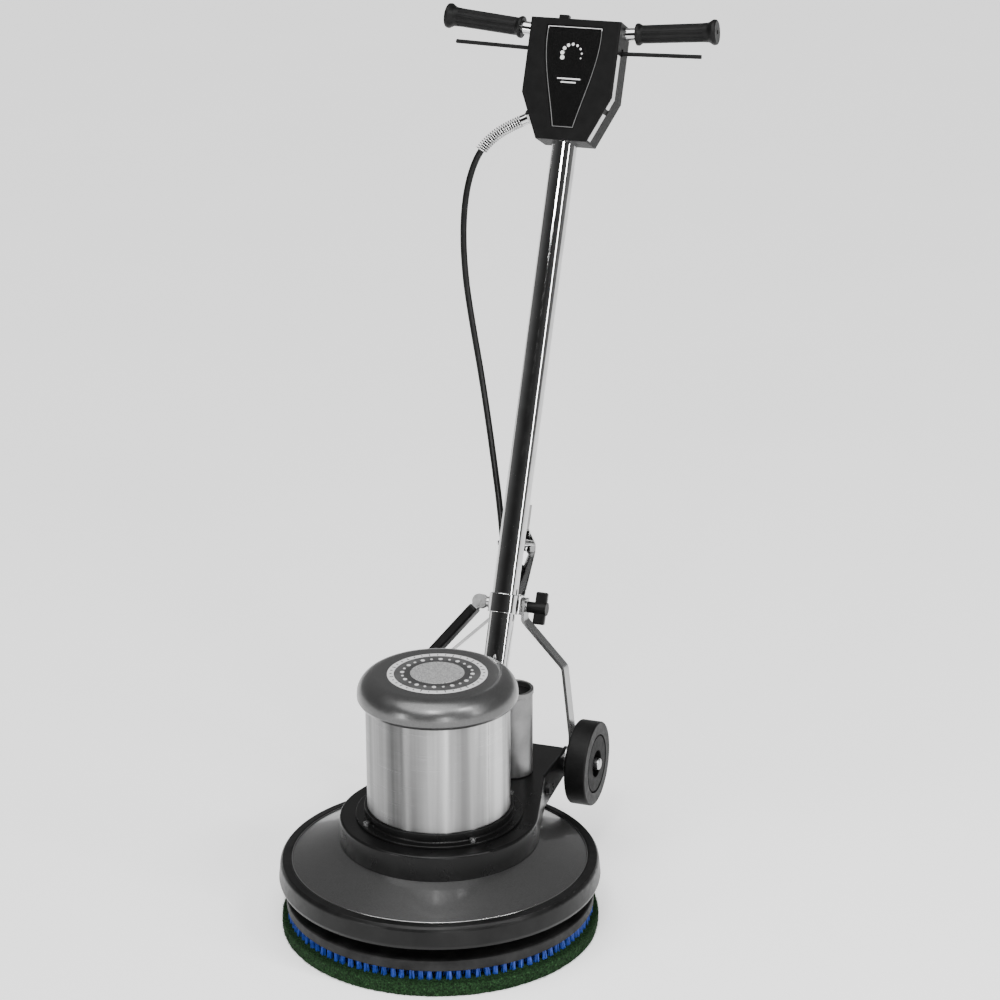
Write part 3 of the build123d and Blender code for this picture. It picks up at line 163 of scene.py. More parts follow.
def make_materials():
    m = {}
    s = Shader("green_pad")
    fibre = s.noise(330, 8, 0.78)
    s.colours(fibre, (0.40, (0.002, 0.005, 0.002)), (0.50, (0.008, 0.024, 0.008)),
              (0.60, (0.020, 0.058, 0.020)), (0.72, (0.10, 0.19, 0.085)))
    s.set(Roughness=0.95, Specular_IOR_Level=0.15)
    s.bump(fibre, 0.9, 0.0015)
    m["green_pad"] = s
    s = Shader("blue_bristle")
    s.colours(s.noise(160, 3), (0.3, (0.008, 0.03, 0.20)), (0.7, (0.022, 0.075, 0.44)))
    s.set(Roughness=0.40, Specular_IOR_Level=0.4)
    s.bump(s.noise(900, 2), 0.2, 0.0002)
    m["blue_bristle"] = s
    m["black_plastic"] = simple("black_plastic", grey(0.003), grey(0.006), 0, (0.32, 0.42), 0.2, 900, 0.12)
    m["hub_plastic"] = simple("hub_plastic", grey(0.002), grey(0.004), 0, (0.45, 0.55), 0.2, 900, 0.05)
    m["driver_plastic"] = simple("driver_plastic", grey(0.006), grey(0.018), 0, (0.5, 0.65), 0.5, 700, 0.15)
    s = Shader("box_plastic")
    s.colours(s.noise(60, 4), (0.3, grey(0.003)), (0.7, grey(0.005)))
    s.set(Specular_IOR_Level=0.08)
    s.roughness(s.noise(200, 4), 0.42, 0.52)
    s.bump(s.cells(1500), 0.35, 0.0003)
    s.bump(s.noise(2400, 3), 0.25, 0.0002)
    m["box_plastic"] = s
    s = Shader("dark_window")
    s.colours(s.noise(900, 6, 0.7), (0.42, grey(0.002)), (0.60, grey(0.006)), (0.72, grey(0.02)))
    s.set(Roughness=0.14, Specular_IOR_Level=0.25, Coat_Weight=0.25, Coat_Roughness=0.06)
    s.bump(s.noise(1300, 3), 0.10, 0.0002)
    m["dark_window"] = s
    s = Shader("dark_paint")
    s.colours(s.noise(2600, 2, 0.6), (0.35, grey(0.030)), (0.5, grey(0.055)), (0.68, grey(0.11)))
    s.set(Metallic=0.7, Coat_Weight=0.6, Coat_Roughness=0.07, Specular_IOR_Level=0.4)
    s.roughness(s.noise(9, 3), 0.28, 0.33)
    s.bump(s.noise(1500, 2), 0.03, 0.0001)
    m["dark_paint"] = s
    m["black_casting"] = simple("black_casting", grey(0.003), grey(0.005), 0, (0.27, 0.30), 0.02, 1500,
                                0.16, 8)
    m["bare_casting"] = simple("bare_casting", grey(0.42), grey(0.55), 1, (0.45, 0.6), 0.5, 500)
    m["black_rubber"] = simple("black_rubber", grey(0.003), grey(0.006), 0, (0.30, 0.42), 0.12, 700, 0.18)
    m["grip_rubber"] = simple("grip_rubber", grey(0.003), grey(0.006), 0, (0.38, 0.5), 0.3, 1100, 0.14)
    m["tyre"] = simple("tyre", grey(0.003), grey(0.006), 0, (0.42, 0.55), 0.3, 600, 0.12)
    m["black_steel"] = simple("black_steel", grey(0.012), grey(0.022), 0.3, (0.3, 0.45), 0.2, 500, 0.4)
    m["grey_rubber"] = simple("grey_rubber", grey(0.48), grey(0.60), 0, (0.5, 0.65), 0.2, 700)
    s = Shader("bright_steel")
    lines = s.noise(60, 6, 0.7, (1, 1, 30))
    s.colours(lines, (0.3, grey(0.36)), (0.7, grey(0.52)))
    s.set(Metallic=1.0)
    s.roughness(lines, 0.20, 0.34)
    s.bump(s.noise(60, 6, 0.7, (1, 1, 40)), 0.05, 0.0002)
    m["bright_steel"] = s
    m["band_steel"] = make_band_steel()
    m["can_metal"] = simple("can_metal", grey(0.15), grey(0.21), 0.9, (0.30, 0.40), 0.08, 500)
    m["gear_steel"] = simple("gear_steel", grey(0.38), grey(0.5), 1, (0.25, 0.4), 0.2, 400)
    s = Shader("chrome")
    s.colours(s.noise(25, 4), (0.3, grey(0.50)), (0.7, grey(0.62)))
    s.set(Metallic=1.0)
    s.roughness(s.noise(55, 6, 0.6), 0.03, 0.09)
    s.bump(s.noise(14, 2), 0.02, 0.0006)
    m["chrome"] = s
    s = Shader("pewter")
    s.colours(s.noise(2300, 2, 0.6), (0.35, grey(0.05)), (0.5, grey(0.085)), (0.68, grey(0.17)))
    s.set(Metallic=0.85, Coat_Weight=0.3, Coat_Roughness=0.18)
    s.roughness(s.noise(40, 4), 0.30, 0.38)
    s.bump(s.noise(700, 3), 0.05, 0.0002)
    m["pewter"] = s
    m["lamination"] = simple("lamination", grey(0.2), grey(0.3), 1, (0.4, 0.55), 0.3, 500)
    m["copper"] = simple("copper", (0.35, 0.13, 0.05), (0.6, 0.25, 0.1), 1, (0.3, 0.45), 0.4, 500)
    # Pale print on the badge and the window, and also the lighter top of the window border's painted
    # highlight.
    m["pale_print_and_highlight"] = simple("pale_print_and_highlight", grey(0.60), grey(0.68), 0.2, (0.35, 0.45), 0.05, 500)
    # Grey for the window border's painted highlight below its top.
    m["painted_rim_highlight"] = simple("painted_rim_highlight", grey(0.09), grey(0.15), 0.1, (0.35, 0.45), 0.05, 500)
    m["label_dark"] = simple("label_dark", grey(0.045), grey(0.07), 0.1, (0.3, 0.4), 0.05, 500)
    s = Shader("label_speckle")
    s.colours(s.noise(700, 6, 0.8), (0.38, grey(0.05)), (0.50, grey(0.30)), (0.62, grey(0.62)))
    s.set(Metallic=0.3)
    s.roughness(s.noise(80, 3), 0.3, 0.45)
    s.bump(s.noise(700, 4), 0.1, 0.0003)
    m["label_speckle"] = s
    m["cam_steel"] = simple("cam_steel", grey(0.30), grey(0.46), 1.0, (0.25, 0.4), 0.2, 400)
    m["zinc"] = simple("zinc", grey(0.26), grey(0.34), 1, (0.20, 0.26), 0.03, 1200, 0.5, 8)
    return m


materials = make_materials()
NODE_FINISH = {
    "motor_band": "band_steel", "switch_box_front": "box_plastic", "switch_box_rear": "box_plastic",
    "driver_disc": "driver_plastic", "wheel_right": "hub_plastic", "wheel_left": "hub_plastic",
    "cam_lever": "cam_steel", "brace_right": "zinc", "brace_left": "zinc", "collar": "chrome",
    "grip_right": "grip_rubber", "grip_left": "grip_rubber",
}
for entry in frame["record"]["subparts"]:
    node = frame["nodes"][entry["node"]]
    finish_name = NODE_FINISH.get(entry["node"], entry["material_slot"])
    node.data.materials.clear()
    node.data.materials.append(materials[finish_name].material)


# ---------------------------------------------------------------- mesh helpers
def mesh_object(name, vertices, faces, finish, body, smooth=True, face_finishes=None):
    """A mesh in the row frame that rides on a body. finish may be several, picked per face."""
    mesh = bpy.data.meshes.new(name)
    mesh.from_pydata([tuple(v) for v in vertices], [], [tuple(f) for f in faces])
    finishes = [finish] if isinstance(finish, str) else finish
    for one in finishes:
        mesh.materials.append(materials[one].material)
    if face_finishes is not None:
        mesh.polygons.foreach_set("material_index", np.asarray(face_finishes, np.int32))
    if smooth:
        mesh.polygons.foreach_set("use_smooth", np.ones(len(mesh.polygons), bool))
    mesh.validate()
    made = bpy.data.objects.new(name, mesh)
    bpy.context.scene.collection.objects.link(made)
    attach(made, body)
    return made


def ring_grid(profile, count, warp=None):
    """Vertices and faces of a closed (radius, z) profile turned about Z; warp may move the radii."""
    profile = np.asarray(profile, float)
    angles = np.arange(count) * 2 * math.pi / count
    radius = np.repeat(profile[None, :, 0], count, 0)
    height = np.repeat(profile[None, :, 1], count, 0)
    if warp is not None:
        radius, height = warp(radius, height, angles)
    x = radius * np.cos(angles)[:, None]
    y = radius * np.sin(angles)[:, None]
    vertices = np.stack([x, y, height], 2).reshape(-1, 3)
    rows = len(profile)
    faces = []
    for i in range(count):
        j = (i + 1) % count
        for k in range(rows):
            n = (k + 1) % rows
            faces.append((i * rows + k, j * rows + k, j * rows + n, i * rows + n))
    return vertices, faces


def smooth_noise(shape, cells, seed):
    """Random values on a grid that repeats round the first axis, smoothed between cells."""
    local = np.random.default_rng(seed)
    rows, columns = cells
    grid = local.random((rows, columns + 2))
    u = np.arange(shape[0]) * rows / shape[0]
    v = np.linspace(0, columns, shape[1])
    iu = np.floor(u).astype(int)
    iv = np.floor(v).astype(int)
    fu = (u - iu)[:, None]
    fv = (v - iv)[None, :]
    fu = fu * fu * (3 - 2 * fu)
    fv = fv * fv * (3 - 2 * fv)
    a = grid[iu % rows][:, iv]
    b = grid[(iu + 1) % rows][:, iv]
    c = grid[iu % rows][:, iv + 1]
    d = grid[(iu + 1) % rows][:, iv + 1]
    return (a * (1 - fu) + b * fu) * (1 - fv) + (c * (1 - fu) + d * fu) * fv


def strands(starts, directions, lengths, radius, sides=3, taper=0.6, bend=None):
    """Many short thin prisms as one mesh: three cross-sections each."""
    starts = np.asarray(starts, float)
    directions = np.asarray(directions, float)
    directions /= np.linalg.norm(directions, axis=1)[:, None]
    helper = np.where(np.abs(directions[:, 2:3]) > 0.9, [[1.0, 0, 0]], [[0, 0, 1.0]])
    across = np.cross(directions, helper)
    across /= np.linalg.norm(across, axis=1)[:, None]
    other = np.cross(directions, across)
    count = len(starts)
    bend = np.zeros((count, 3)) if bend is None else bend
    sections = []
    for share, thick in ((0.0, 1.0), (0.55, 0.9), (1.0, taper)):
        centre = starts + directions * (lengths * share)[:, None] + bend * (share * share)
        for k in range(sides):
            turn = 2 * math.pi * k / sides
            sections.append(centre + (across * math.cos(turn) + other * math.sin(turn)) * radius * thick)
    vertices = np.stack(sections, 1).reshape(-1, 3)
    faces = []
    per = 3 * sides
    for i in range(count):
        base = i * per
        for level in range(2):
            for k in range(sides):
                n = (k + 1) % sides
                low = base + level * sides
                faces.append((low + k, low + n, low + sides + n, low + sides + k))
        faces.append(tuple(base + 2 * sides + k for k in range(sides)))
    return vertices, faces


# ---------------------------------------------------------------- pad
PAD_R = 0.254
PAD_TOP = 0.025
PAD_CENTRE = 0.0005
PAD_COLUMNS = 1400
PAD_SIDE_ROWS = 18
RIM_FIBRES = 15000
TOP_FIBRES = 6000
FIBRE_RADIUS = 0.00017


def within(vertices, radius):
    """Pulls the vertices past a radius from the Z axis in to it."""
    reach = np.hypot(vertices[:, 0], vertices[:, 1])
    shrink = np.minimum(1.0, radius / np.maximum(reach, 1e-6))
    vertices[:, :2] *= shrink[:, None]


def build_pad():
    """The pad as a felted web: an uneven core with loose fibres round its rim and top edge."""
    profile = [(PAD_CENTRE, 0.0)]
    profile += [(r, 0.0) for r in (0.1, 0.18, 0.23, 0.2485)]
    for i in range(PAD_SIDE_ROWS):
        share = (i + 0.5) / PAD_SIDE_ROWS
        profile.append((PAD_R - 0.0005, share * PAD_TOP))
    profile += [(r, PAD_TOP) for r in (0.2505, 0.247, 0.243, 0.238, 0.2, 0.1)] + [(PAD_CENTRE, PAD_TOP)]
    shape = (PAD_COLUMNS, len(profile))
    coarse = smooth_noise(shape, (180, 6), 1)
    medium = smooth_noise(shape, (520, 13), 2)
    fine = np.random.default_rng(3).random(shape)

    def warp(radius, height, angles):
        outer = np.clip((radius - 0.236) / 0.012, 0, 1)
        edge = np.clip(np.abs(height / PAD_TOP - 0.5) * 2, 0, 1) ** 6
        depth = 0.0010 * coarse + 0.0013 * medium + 0.0009 * fine + 0.0022 * edge
        radius = radius - outer * depth
        top = (height > PAD_TOP * 0.9) & (radius > 0.05)
        height = np.where(top, height - 0.0008 * (medium + fine) * outer, height)
        return radius, height

    vertices, faces = ring_grid(profile, PAD_COLUMNS, warp)
    core = mesh_object("pad_web", vertices, faces, "green_pad", "driver")
    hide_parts("pad")

    number = RIM_FIBRES
    turn = rng.random(number) * 2 * math.pi
    height = 0.0008 + rng.random(number) * (PAD_TOP - 0.0016)
    reach = 0.2516 - rng.random(number) * 0.0012
    starts = np.stack([reach * np.cos(turn), reach * np.sin(turn), height], 1)
    tangent = np.stack([-np.sin(turn), np.cos(turn), np.zeros(number)], 1)
    outward = np.stack([np.cos(turn), np.sin(turn), np.zeros(number)], 1)
    swing = rng.normal(0, 1, (number, 3)) * [1, 1, 0.55]
    directions = tangent * np.sign(rng.random(number) - 0.5)[:, None] + 0.35 * swing + 0.16 * outward
    lengths = 0.003 + rng.random(number) * 0.006
    bend = -outward * 0.0014 + rng.normal(0, 0.0008, (number, 3)) * [1, 1, 0.5]
    vertices, faces = strands(starts, directions, lengths, FIBRE_RADIUS, bend=bend)
    within(vertices, PAD_R - 0.0001)
    vertices[:, 2] = np.clip(vertices[:, 2], 0.0003, PAD_TOP + 0.0009)
    mesh_object("pad_fibres", vertices, faces, "green_pad", "driver", smooth=False)

    number = TOP_FIBRES
    turn = rng.random(number) * 2 * math.pi
    reach = 0.2435 + rng.random(number) * 0.0085
    starts = np.stack([reach * np.cos(turn), reach * np.sin(turn), np.full(number, PAD_TOP - 0.0006)], 1)
    directions = rng.normal(0, 1, (number, 3))
    directions[:, 2] = np.abs(directions[:, 2]) * 0.12
    lengths = 0.002 + rng.random(number) * 0.005
    vertices, faces = strands(starts, directions, lengths, FIBRE_RADIUS)
    within(vertices, PAD_R - 0.0001)
    mesh_object("pad_top_fibres", vertices, faces, "green_pad", "driver", smooth=False)


# ---------------------------------------------------------------- bristles
TUFT_LOW = 0.0252
TUFT_HIGH = 0.0400
TUFT_PITCH = 0.0145
TUFT_SPREAD = 0.0021
OUTER_RINGS = [0.2395 - 0.0105 * i for i in range(3)]
INNER_RINGS = [0.204 - 0.0165 * i for i in range(9)]
INNER_TUFT_PITCH = 0.017
BRISTLE_LIMIT = 0.2440


def build_bristles():
    """Rings of nylon tufts between the driver block and the pad."""
    low, high = TUFT_LOW, TUFT_HIGH
    starts, directions, lengths = [], [], []
    for index, radius in enumerate(OUTER_RINGS):
        tufts = int(2 * math.pi * radius / TUFT_PITCH)
        filaments = 34 if index == 0 else 16
        for t in range(tufts):
            turn = 2 * math.pi * (t + 0.5 * (index % 2)) / tufts + rng.normal(0, 0.0016)
            lean = rng.normal(0, 0.05, 2)
            for _ in range(filaments):
                spread = rng.normal(0, 1, 2)
                spread /= max(1.0, np.linalg.norm(spread) / 1.4)
                x = radius * math.cos(turn) + spread[0] * TUFT_SPREAD
                y = radius * math.sin(turn) + spread[1] * TUFT_SPREAD
                starts.append((x, y, high))
                directions.append((lean[0] + spread[0] * 0.07, lean[1] + spread[1] * 0.07, -1.0))
                lengths.append((high - low) * (0.96 + 0.04 * rng.random()))
    vertices, faces = strands(starts, directions, np.array(lengths), 0.00042, sides=4, taper=0.9)
    within(vertices, BRISTLE_LIMIT)
    vertices[:, 2] = np.clip(vertices[:, 2], low, high)
    outer = mesh_object("bristle_tufts", vertices, faces, "blue_bristle", "driver",
                        smooth=False)
    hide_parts("bristles")
    starts = []
    for i, radius in enumerate(INNER_RINGS):
        tufts = int(2 * math.pi * radius / INNER_TUFT_PITCH)
        for t in range(tufts):
            turn = 2 * math.pi * (t + 0.5 * (i % 2)) / tufts
            starts.append((radius * math.cos(turn), radius * math.sin(turn), high))
    count = len(starts)
    directions = rng.normal(0, 0.03, (count, 3))
    directions[:, 2] = -1
    vertices, faces = strands(starts, directions, np.full(count, high - low), 0.0026, sides=8, taper=1.1)
    vertices[:, 2] = np.clip(vertices[:, 2], low, high)
    mesh_object("inner_tufts", vertices, faces, "blue_bristle", "driver")


# ---------------------------------------------------------------- apron edge
def build_apron_roll():
    """The apron's rolled edge as a thin bead; its bare-metal finish, lighter than the painted apron, paints
    a highlight line against the bumper's lip.
    """
    radius, height, bead = 0.2343, 0.1183, 0.0011
    profile = []
    for k in range(10):
        turn = -2 * math.pi * k / 10
        profile.append((radius + bead * math.cos(turn), height + bead * math.sin(turn)))
    vertices, faces = ring_grid(profile, 360)
    # Painted highlight: the bead takes the lighter zinc finish so that it shows as a bright line, where the
    # real edge is painted like the apron.
    mesh_object("apron_roll", vertices, [face[::-1] for face in faces], "zinc", "base")


# ---------------------------------------------------------------- motor cap badge
BADGE_TICKS = 36
BADGE_TICK_RADIUS = 0.0735
BADGE_TICK_HALF_WIDTH = 0.0007
BADGE_DOTS = 24
BADGE_DOT_CIRCLE = 0.055
BADGE_RINGS = (
    (0.068, 0.0785, 0.0006, 0),
    (0.0425, 0.0678, 0.0004, 1),
    (0.0003, 0.0423, 0.0006, 2),
)


def flat_ring(inner, outer, low, high):
    edge = min(0.0002, (high - low) / 2)
    profile = [(inner, low), (outer, low), (outer, high - edge), (outer - edge, high), (inner, high)]
    return ring_grid(profile, 256)


def cap_surface(radius):
    """The cap's crown falls slightly from its centre to its rounded rim."""
    return 0.431 - 0.0025 * radius / 0.1263


def join(parts):
    vertices, faces, picks = [], [], []
    for v, f, pick in parts:
        offset = len(vertices)
        vertices.extend([tuple(p) for p in v])
        faces.extend([tuple(i + offset for i in face) for face in f])
        picks.extend(pick if isinstance(pick, list) else [pick] * len(f))
    return vertices, faces, picks


def slab(points, low, high, place):
    """A flat prism from 2-D points between two heights, moved by place(x, y, height)."""
    count = len(points)
    vertices = [place(x, y, low) for x, y in points] + [place(x, y, high) for x, y in points]
    faces = [tuple(range(count))[::-1], tuple(range(count, 2 * count))]
    faces += [(i, (i + 1) % count, count + (i + 1) % count, count + i) for i in range(count)]
    return vertices, faces


def disc(x, y, radius, count):
    turns = np.linspace(0, 2 * math.pi, count + 1)[:-1]
    return [(x + radius * math.cos(a), y + radius * math.sin(a)) for a in turns]


def build_cap_badge():
    """A blank round badge: pale rim with tick marks, dark band with a ring of dots, speckled centre."""
    parts = []
    for inner, outer, lift, pick in BADGE_RINGS:
        base = cap_surface(outer) - 0.0003
        parts.append((*flat_ring(inner, outer, base, cap_surface(inner) + lift - 0.0006), pick))
    top = cap_surface(BADGE_DOT_CIRCLE) + 0.0003
    rim = cap_surface(BADGE_TICK_RADIUS)
    half = BADGE_TICK_HALF_WIDTH
    for i in range(BADGE_TICKS):
        turn = 2 * math.pi * i / BADGE_TICKS
        length = 0.0042 if i % 3 == 0 else 0.0024
        c, s = math.cos(turn), math.sin(turn)
        start, end = BADGE_TICK_RADIUS - length, BADGE_TICK_RADIUS + length * 0.4
        box = [(start, -half), (end, -half), (end, half), (start, half)]

        def place(x, y, z, c=c, s=s):
            return (x * c - y * s, x * s + y * c, z)

        parts.append((*slab(box, rim - 0.0006, rim + 0.0007, place), 1))
    for i in range(BADGE_DOTS):
        turn = 2 * math.pi * i / BADGE_DOTS
        centre = BADGE_DOT_CIRCLE * math.cos(turn), BADGE_DOT_CIRCLE * math.sin(turn)
        dot = disc(*centre, 0.0034 if i % 2 else 0.0021, 16)
        parts.append((*slab(dot, top - 0.0008, top + 0.0003, lambda x, y, z: (x, y, z)), 0))
    vertices, faces, picks = join(parts)
    finishes = ["pale_print_and_highlight", "label_dark", "label_speckle"]
    mesh_object("cap_badge", vertices, faces, finishes, "base", smooth=False, face_finishes=picks)


# ---------------------------------------------------------------- switch box window
WINDOW_TOP = 1252.0
WINDOW_FOOT = 1080.0
WINDOW_FACE = -24.9
WINDOW_BACK = -24.0
DOT_CIRCLE = 17
DOT_CIRCLE_Z = 1204


def window_half_width(z):
    """A cubic through the recess's four widths, a little inside its wall."""
    known = [(WINDOW_TOP, 48.5), (1188.0, 44.5), (1135.0, 32.5), (WINDOW_FOOT, 19.5)]
    total = 0.0
    for i, (zi, wi) in enumerate(known):
        weight = wi
        for k, (zk, _) in enumerate(known):
            if k != i:
                weight *= (z - zk) / (zi - zk)
        total += weight
    return total


def window_points(inset):
    rows = np.linspace(WINDOW_TOP - inset, WINDOW_FOOT + inset, 48)
    right = [(window_half_width(z) - inset, z) for z in rows]
    left = [(-x, z) for x, z in reversed(right)]
    return right + left


def in_handle(x, y, z):
    return tuple(HANDLE @ Vector((x * MM, y * MM, z * MM)))


def build_window():
    """The dark panel in the recess, a pale line round its edge that is a painted highlight of the recess's
    rounded rim, lighter along the top, and a plain ring of dots.
    """
    face = WINDOW_FACE

    def place(x, z, depth):
        return in_handle(x, depth, z)

    panel = slab(window_points(1.0)[::-1], WINDOW_BACK, face - 0.55, place)
    outer, inner = window_points(2.0), window_points(3.1)
    count = len(outer)
    high = face - 0.95
    vertices = [place(x, z, face - 0.3) for x, z in outer] + [place(x, z, face - 0.3) for x, z in inner]
    vertices += [place(x, z, high) for x, z in outer] + [place(x, z, high) for x, z in inner]
    faces, rim_highlight_picks = [], []
    for i in range(count):
        j = (i + 1) % count
        faces.append((2 * count + i, 2 * count + j, 3 * count + j, 3 * count + i))
        faces.append((i, j, 2 * count + j, 2 * count + i))
        faces.append((count + j, count + i, 3 * count + i, 3 * count + j))
        # Painted highlight: the border ring's faces near the top take the pale finish, the rest the darker
        # grey one.
        rim_highlight_picks += [1 if min(outer[i][1], outer[j][1]) > WINDOW_TOP - 9 else 2] * 3
    parts = [(*panel, 0), (vertices, faces, rim_highlight_picks)]
    for i in range(9):
        turn = math.radians(-20 + 220 * i / 8)
        centre = DOT_CIRCLE * math.cos(turn), DOT_CIRCLE_Z + DOT_CIRCLE * math.sin(turn)
        dot = disc(*centre, 1.2 + 0.32 * i, 24)
        parts.append((*slab(dot[::-1], face - 0.3, face - 0.85, place), 1))
    for row, half in ((1163, 20), (1157, 13)):
        bar = [(-half, row - 1.1), (half, row - 1.1), (half, row + 1.1), (-half, row + 1.1)]
        parts.append((*slab(bar[::-1], face - 0.3, face - 0.85, place), 1))
    vertices, faces, picks = join(parts)
    finishes = ["dark_window", "pale_print_and_highlight", "painted_rim_highlight"]
    mesh_object("box_window", vertices, faces, finishes, "handle", smooth=False,
                face_finishes=picks)


# ---------------------------------------------------------------- motor cable and its spring
ROUTE = [
    (-0.080, 0.645, 1.156),
    (-0.110, 0.639, 1.142),
    (-0.140, 0.629, 1.116),
    (-0.156, 0.617, 1.084),
    (-0.165, 0.601, 1.034),
    (-0.163, 0.581, 0.970),
    (-0.150, 0.557, 0.899),
    (-0.129, 0.532, 0.829),
    (-0.106, 0.506, 0.760),
    (-0.081, 0.472, 0.686),
    (-0.056, 0.434, 0.613),
    (-0.037, 0.404, 0.558),
    (-0.022, 0.375, 0.512),
]


SPRING_REACH = 0.086
SPRING_WIRE = 0.00120
SPRING_MEAN = 0.0092
SPRING_TURNS = 20
STEPS_PER_TURN = 26
WIRE_SIDES = 8


def spline_points(curve):
    """The points of the curve's own NURBS line, read from a copy of it with no thickness."""
    line = curve.copy()
    line.bevel_depth = 0
    holder = bpy.data.objects.new("cable_line", line)
    mesh = bpy.data.meshes.new_from_object(holder)
    points = [vertex.co.copy() for vertex in mesh.vertices]
    bpy.data.meshes.remove(mesh)
    bpy.data.objects.remove(holder)
    bpy.data.curves.remove(line)
    return points


def coil_mesh(path, lengths):
    """A round wire wound about the path, from its start to SPRING_REACH along it."""
    centres, frames = [], []
    side = Vector((0, 1, 0))
    steps = SPRING_TURNS * STEPS_PER_TURN
    for step in range(steps + 1):
        s = SPRING_REACH * step / steps
        k = next(i for i in range(1, len(lengths)) if lengths[i] >= s)
        share = (s - lengths[k - 1]) / (lengths[k] - lengths[k - 1])
        along = (path[k] - path[k - 1]).normalized()
        side = (side - along * side.dot(along)).normalized()
        up = along.cross(side)
        turn = 2 * math.pi * step / STEPS_PER_TURN
        spoke = side * math.cos(turn) + up * math.sin(turn)
        centres.append(path[k - 1].lerp(path[k], share) + spoke * SPRING_MEAN)
        frames.append((spoke, along))
    vertices, faces = [], []
    around = WIRE_SIDES
    for centre, (spoke, along) in zip(centres, frames):
        for k in range(around):
            a = 2 * math.pi * k / around
            vertices.append(centre + spoke * SPRING_WIRE * math.cos(a) + along * SPRING_WIRE * math.sin(a))
    for i in range(len(centres) - 1):
        low, high = i * around, (i + 1) * around
        for k in range(around):
            n = (k + 1) % around
            faces.append((low + k, high + k, high + n, low + n))
    faces.append(tuple(range(around))[::-1])
    faces.append(tuple(range(len(vertices) - around, len(vertices))))
    return vertices, faces


def build_cable():
    """The motor cable, and the coil spring that guards it at the gland."""
    curve = bpy.data.curves.new("cable", "CURVE")
    curve.dimensions = "3D"
    curve.bevel_depth = 0.0055
    curve.bevel_resolution = 6
    curve.resolution_u = 14
    curve.use_fill_caps = True
    spline = curve.splines.new("NURBS")
    spline.points.add(len(ROUTE) - 1)
    for point, place in zip(spline.points, ROUTE):
        point.co = (*place, 1)
    spline.order_u = 3
    spline.use_endpoint_u = True
    cable = bpy.data.objects.new("cable", curve)
    curve.materials.append(materials["black_rubber"].material)
    bpy.context.scene.collection.objects.link(cable)
    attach(cable, "handle")
    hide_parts("motor_cable")

    path = spline_points(curve)
    lengths = [0.0]
    for a, b in zip(path, path[1:]):
        lengths.append(lengths[-1] + (b - a).length)
    vertices, faces = coil_mesh(path, lengths)
    coil = mesh_object("spring_coil", vertices, faces, "chrome", "handle")
    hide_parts("bend_spring")


# ---------------------------------------------------------------- stage, lights and camera
def plane_mesh(name, half, place, material):
    mesh = bpy.data.meshes.new(name)
    corners = [(-half, -half, 0), (half, -half, 0), (half, half, 0), (-half, half, 0)]
    mesh.from_pydata(corners, [], [(0, 1, 2, 3)])
    mesh.materials.append(material)
    made = bpy.data.objects.new(name, mesh)
    made.matrix_world = place
    bpy.context.scene.collection.objects.link(made)


def bearing(azimuth, elevation):
    """A unit vector. Azimuth 0 is in front of the object, 90 on the viewer's right."""
    a, e = math.radians(azimuth), math.radians(elevation)
    return Vector((math.sin(a) * math.cos(e), -math.cos(a) * math.cos(e), math.sin(e)))


def area_light(name, azimuth, elevation, distance, width, height, power, centre=(0, 0.3, 0.6)):
    """A soft rectangular light that faces the object."""
    offset = bearing(azimuth, elevation) * distance
    light = bpy.data.lights.new(name, "AREA")
    light.shape = "RECTANGLE"
    light.size, light.size_y = width, height
    light.energy = power
    made = bpy.data.objects.new(name, light)
    made.location = Vector(centre) + offset
    made.rotation_mode = "QUATERNION"
    made.rotation_quaternion = (-offset).to_track_quat("-Z", "Y")
    made.visible_camera = False
    bpy.context.scene.collection.objects.link(made)


def sun(azimuth, elevation, spread, strength):
    """A broad far light for the floor and the tops of things."""
    light = bpy.data.lights.new("overhead", "SUN")
    light.angle = math.radians(spread)
    light.energy = strength
    towards = bearing(azimuth, elevation)
    made = bpy.data.objects.new("overhead", light)
    made.rotation_mode = "QUATERNION"
    made.rotation_quaternion = (-towards).to_track_quat("-Z", "Y")
    bpy.context.scene.collection.objects.link(made)


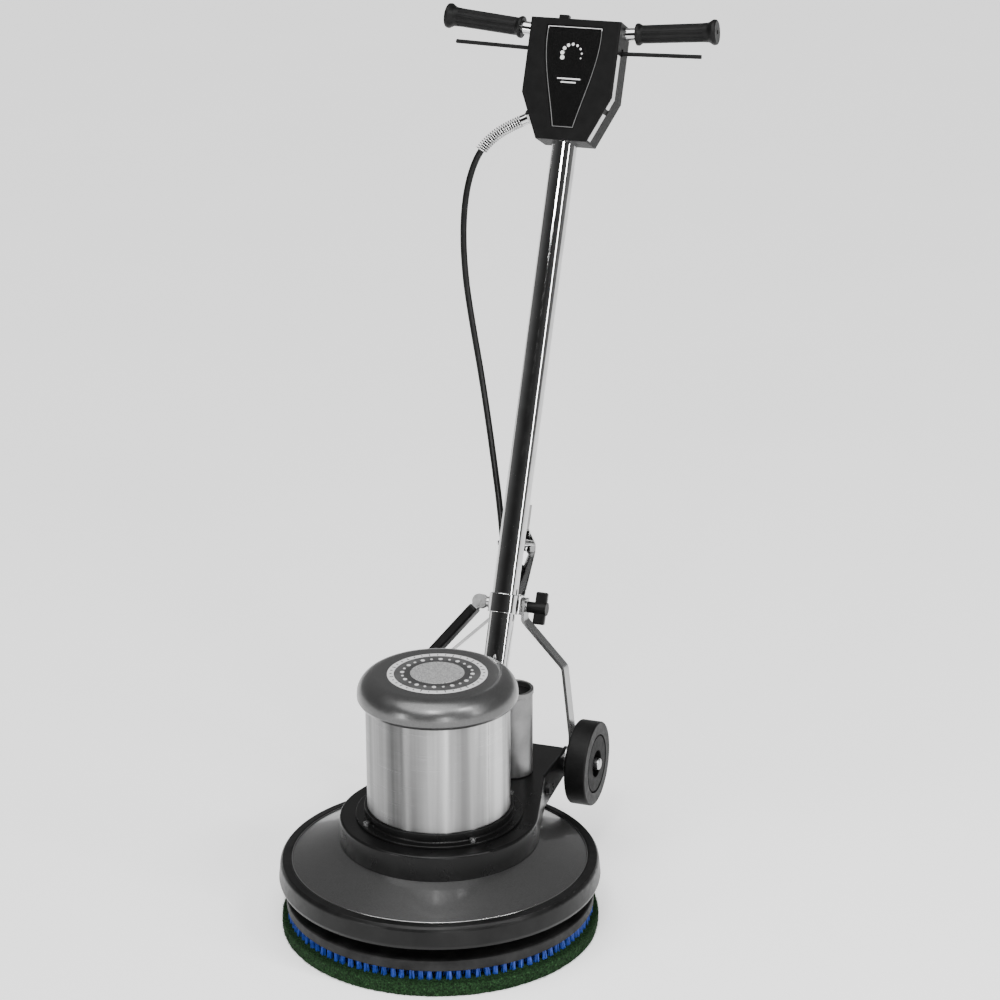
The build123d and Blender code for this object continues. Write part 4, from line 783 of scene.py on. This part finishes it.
def build_world():
    """A dim studio: dark behind the camera, paler behind the object."""
    world = bpy.data.worlds.new("studio")
    world.use_nodes = True
    tree = world.node_tree
    background = tree.nodes["Background"]
    coordinate = tree.nodes.new("ShaderNodeTexCoord")
    split = tree.nodes.new("ShaderNodeSeparateXYZ")
    tree.links.new(coordinate.outputs["Generated"], split.inputs[0])
    ramp = tree.nodes.new("ShaderNodeMapRange")
    for key, value in (("From Min", -0.95), ("From Max", 0.9), ("To Min", 0.02), ("To Max", 0.34)):
        ramp.inputs[key].default_value = value
    tree.links.new(split.outputs["Y"], ramp.inputs["Value"])
    tree.links.new(ramp.outputs["Result"], background.inputs["Strength"])
    background.inputs["Color"].default_value = (1, 1, 1, 1)
    bpy.context.scene.world = world


def build_stage():
    floor = Shader("studio_floor")
    floor.colours(floor.noise(2, 3), (0.3, grey(0.88)), (0.7, grey(0.90)))
    floor.set(Roughness=0.8, Specular_IOR_Level=0.1, Emission_Color=(1, 1, 1, 1), Emission_Strength=0.45)
    plane_mesh("floor", 30, Matrix.Translation((0, 0, 0)), floor.material)
    build_world()
    sun(-10, 70, 60, 3.6)
    motor = (0, 0, 0.35)
    area_light("left_strip", -30, 7, 4.6, 0.42, 1.9, 55, motor)
    area_light("near_strip", 31, 7, 4.6, 0.50, 1.9, 60, motor)
    area_light("right_strip", 72, 24, 4.6, 0.30, 3.6, 80)
    area_light("front_box", 12, 50, 3.6, 0.7, 0.5, 45, motor)
    area_light("side_box", 68, 50, 3.6, 0.7, 0.5, 45, motor)


def build_camera():
    azimuth, pitch, roll = math.radians(19.71), math.radians(20.12), math.radians(-0.43)
    level = math.cos(pitch)
    forward = Vector((-math.sin(azimuth) * level, math.cos(azimuth) * level, -math.sin(pitch)))
    right = Vector((math.cos(azimuth), math.sin(azimuth), 0))
    up = right.cross(forward)
    across = right * math.cos(roll) + up * math.sin(roll)
    above = -right * math.sin(roll) + up * math.cos(roll)
    camera = bpy.data.cameras.new("camera")
    camera.sensor_width = 36.0
    camera.lens = 111.384
    camera.shift_x = 0.0163
    camera.shift_y = 0.0006
    made = bpy.data.objects.new("camera", camera)
    turn = Matrix((across, above, -forward)).transposed().to_4x4()
    made.matrix_world = Matrix.Translation((1.563, -4.143, 2.337)) @ turn
    bpy.context.scene.collection.objects.link(made)
    bpy.context.scene.camera = made


build_pad()
build_bristles()
build_apron_roll()
build_cap_badge()
build_window()
build_cable()
build_stage()
build_camera()
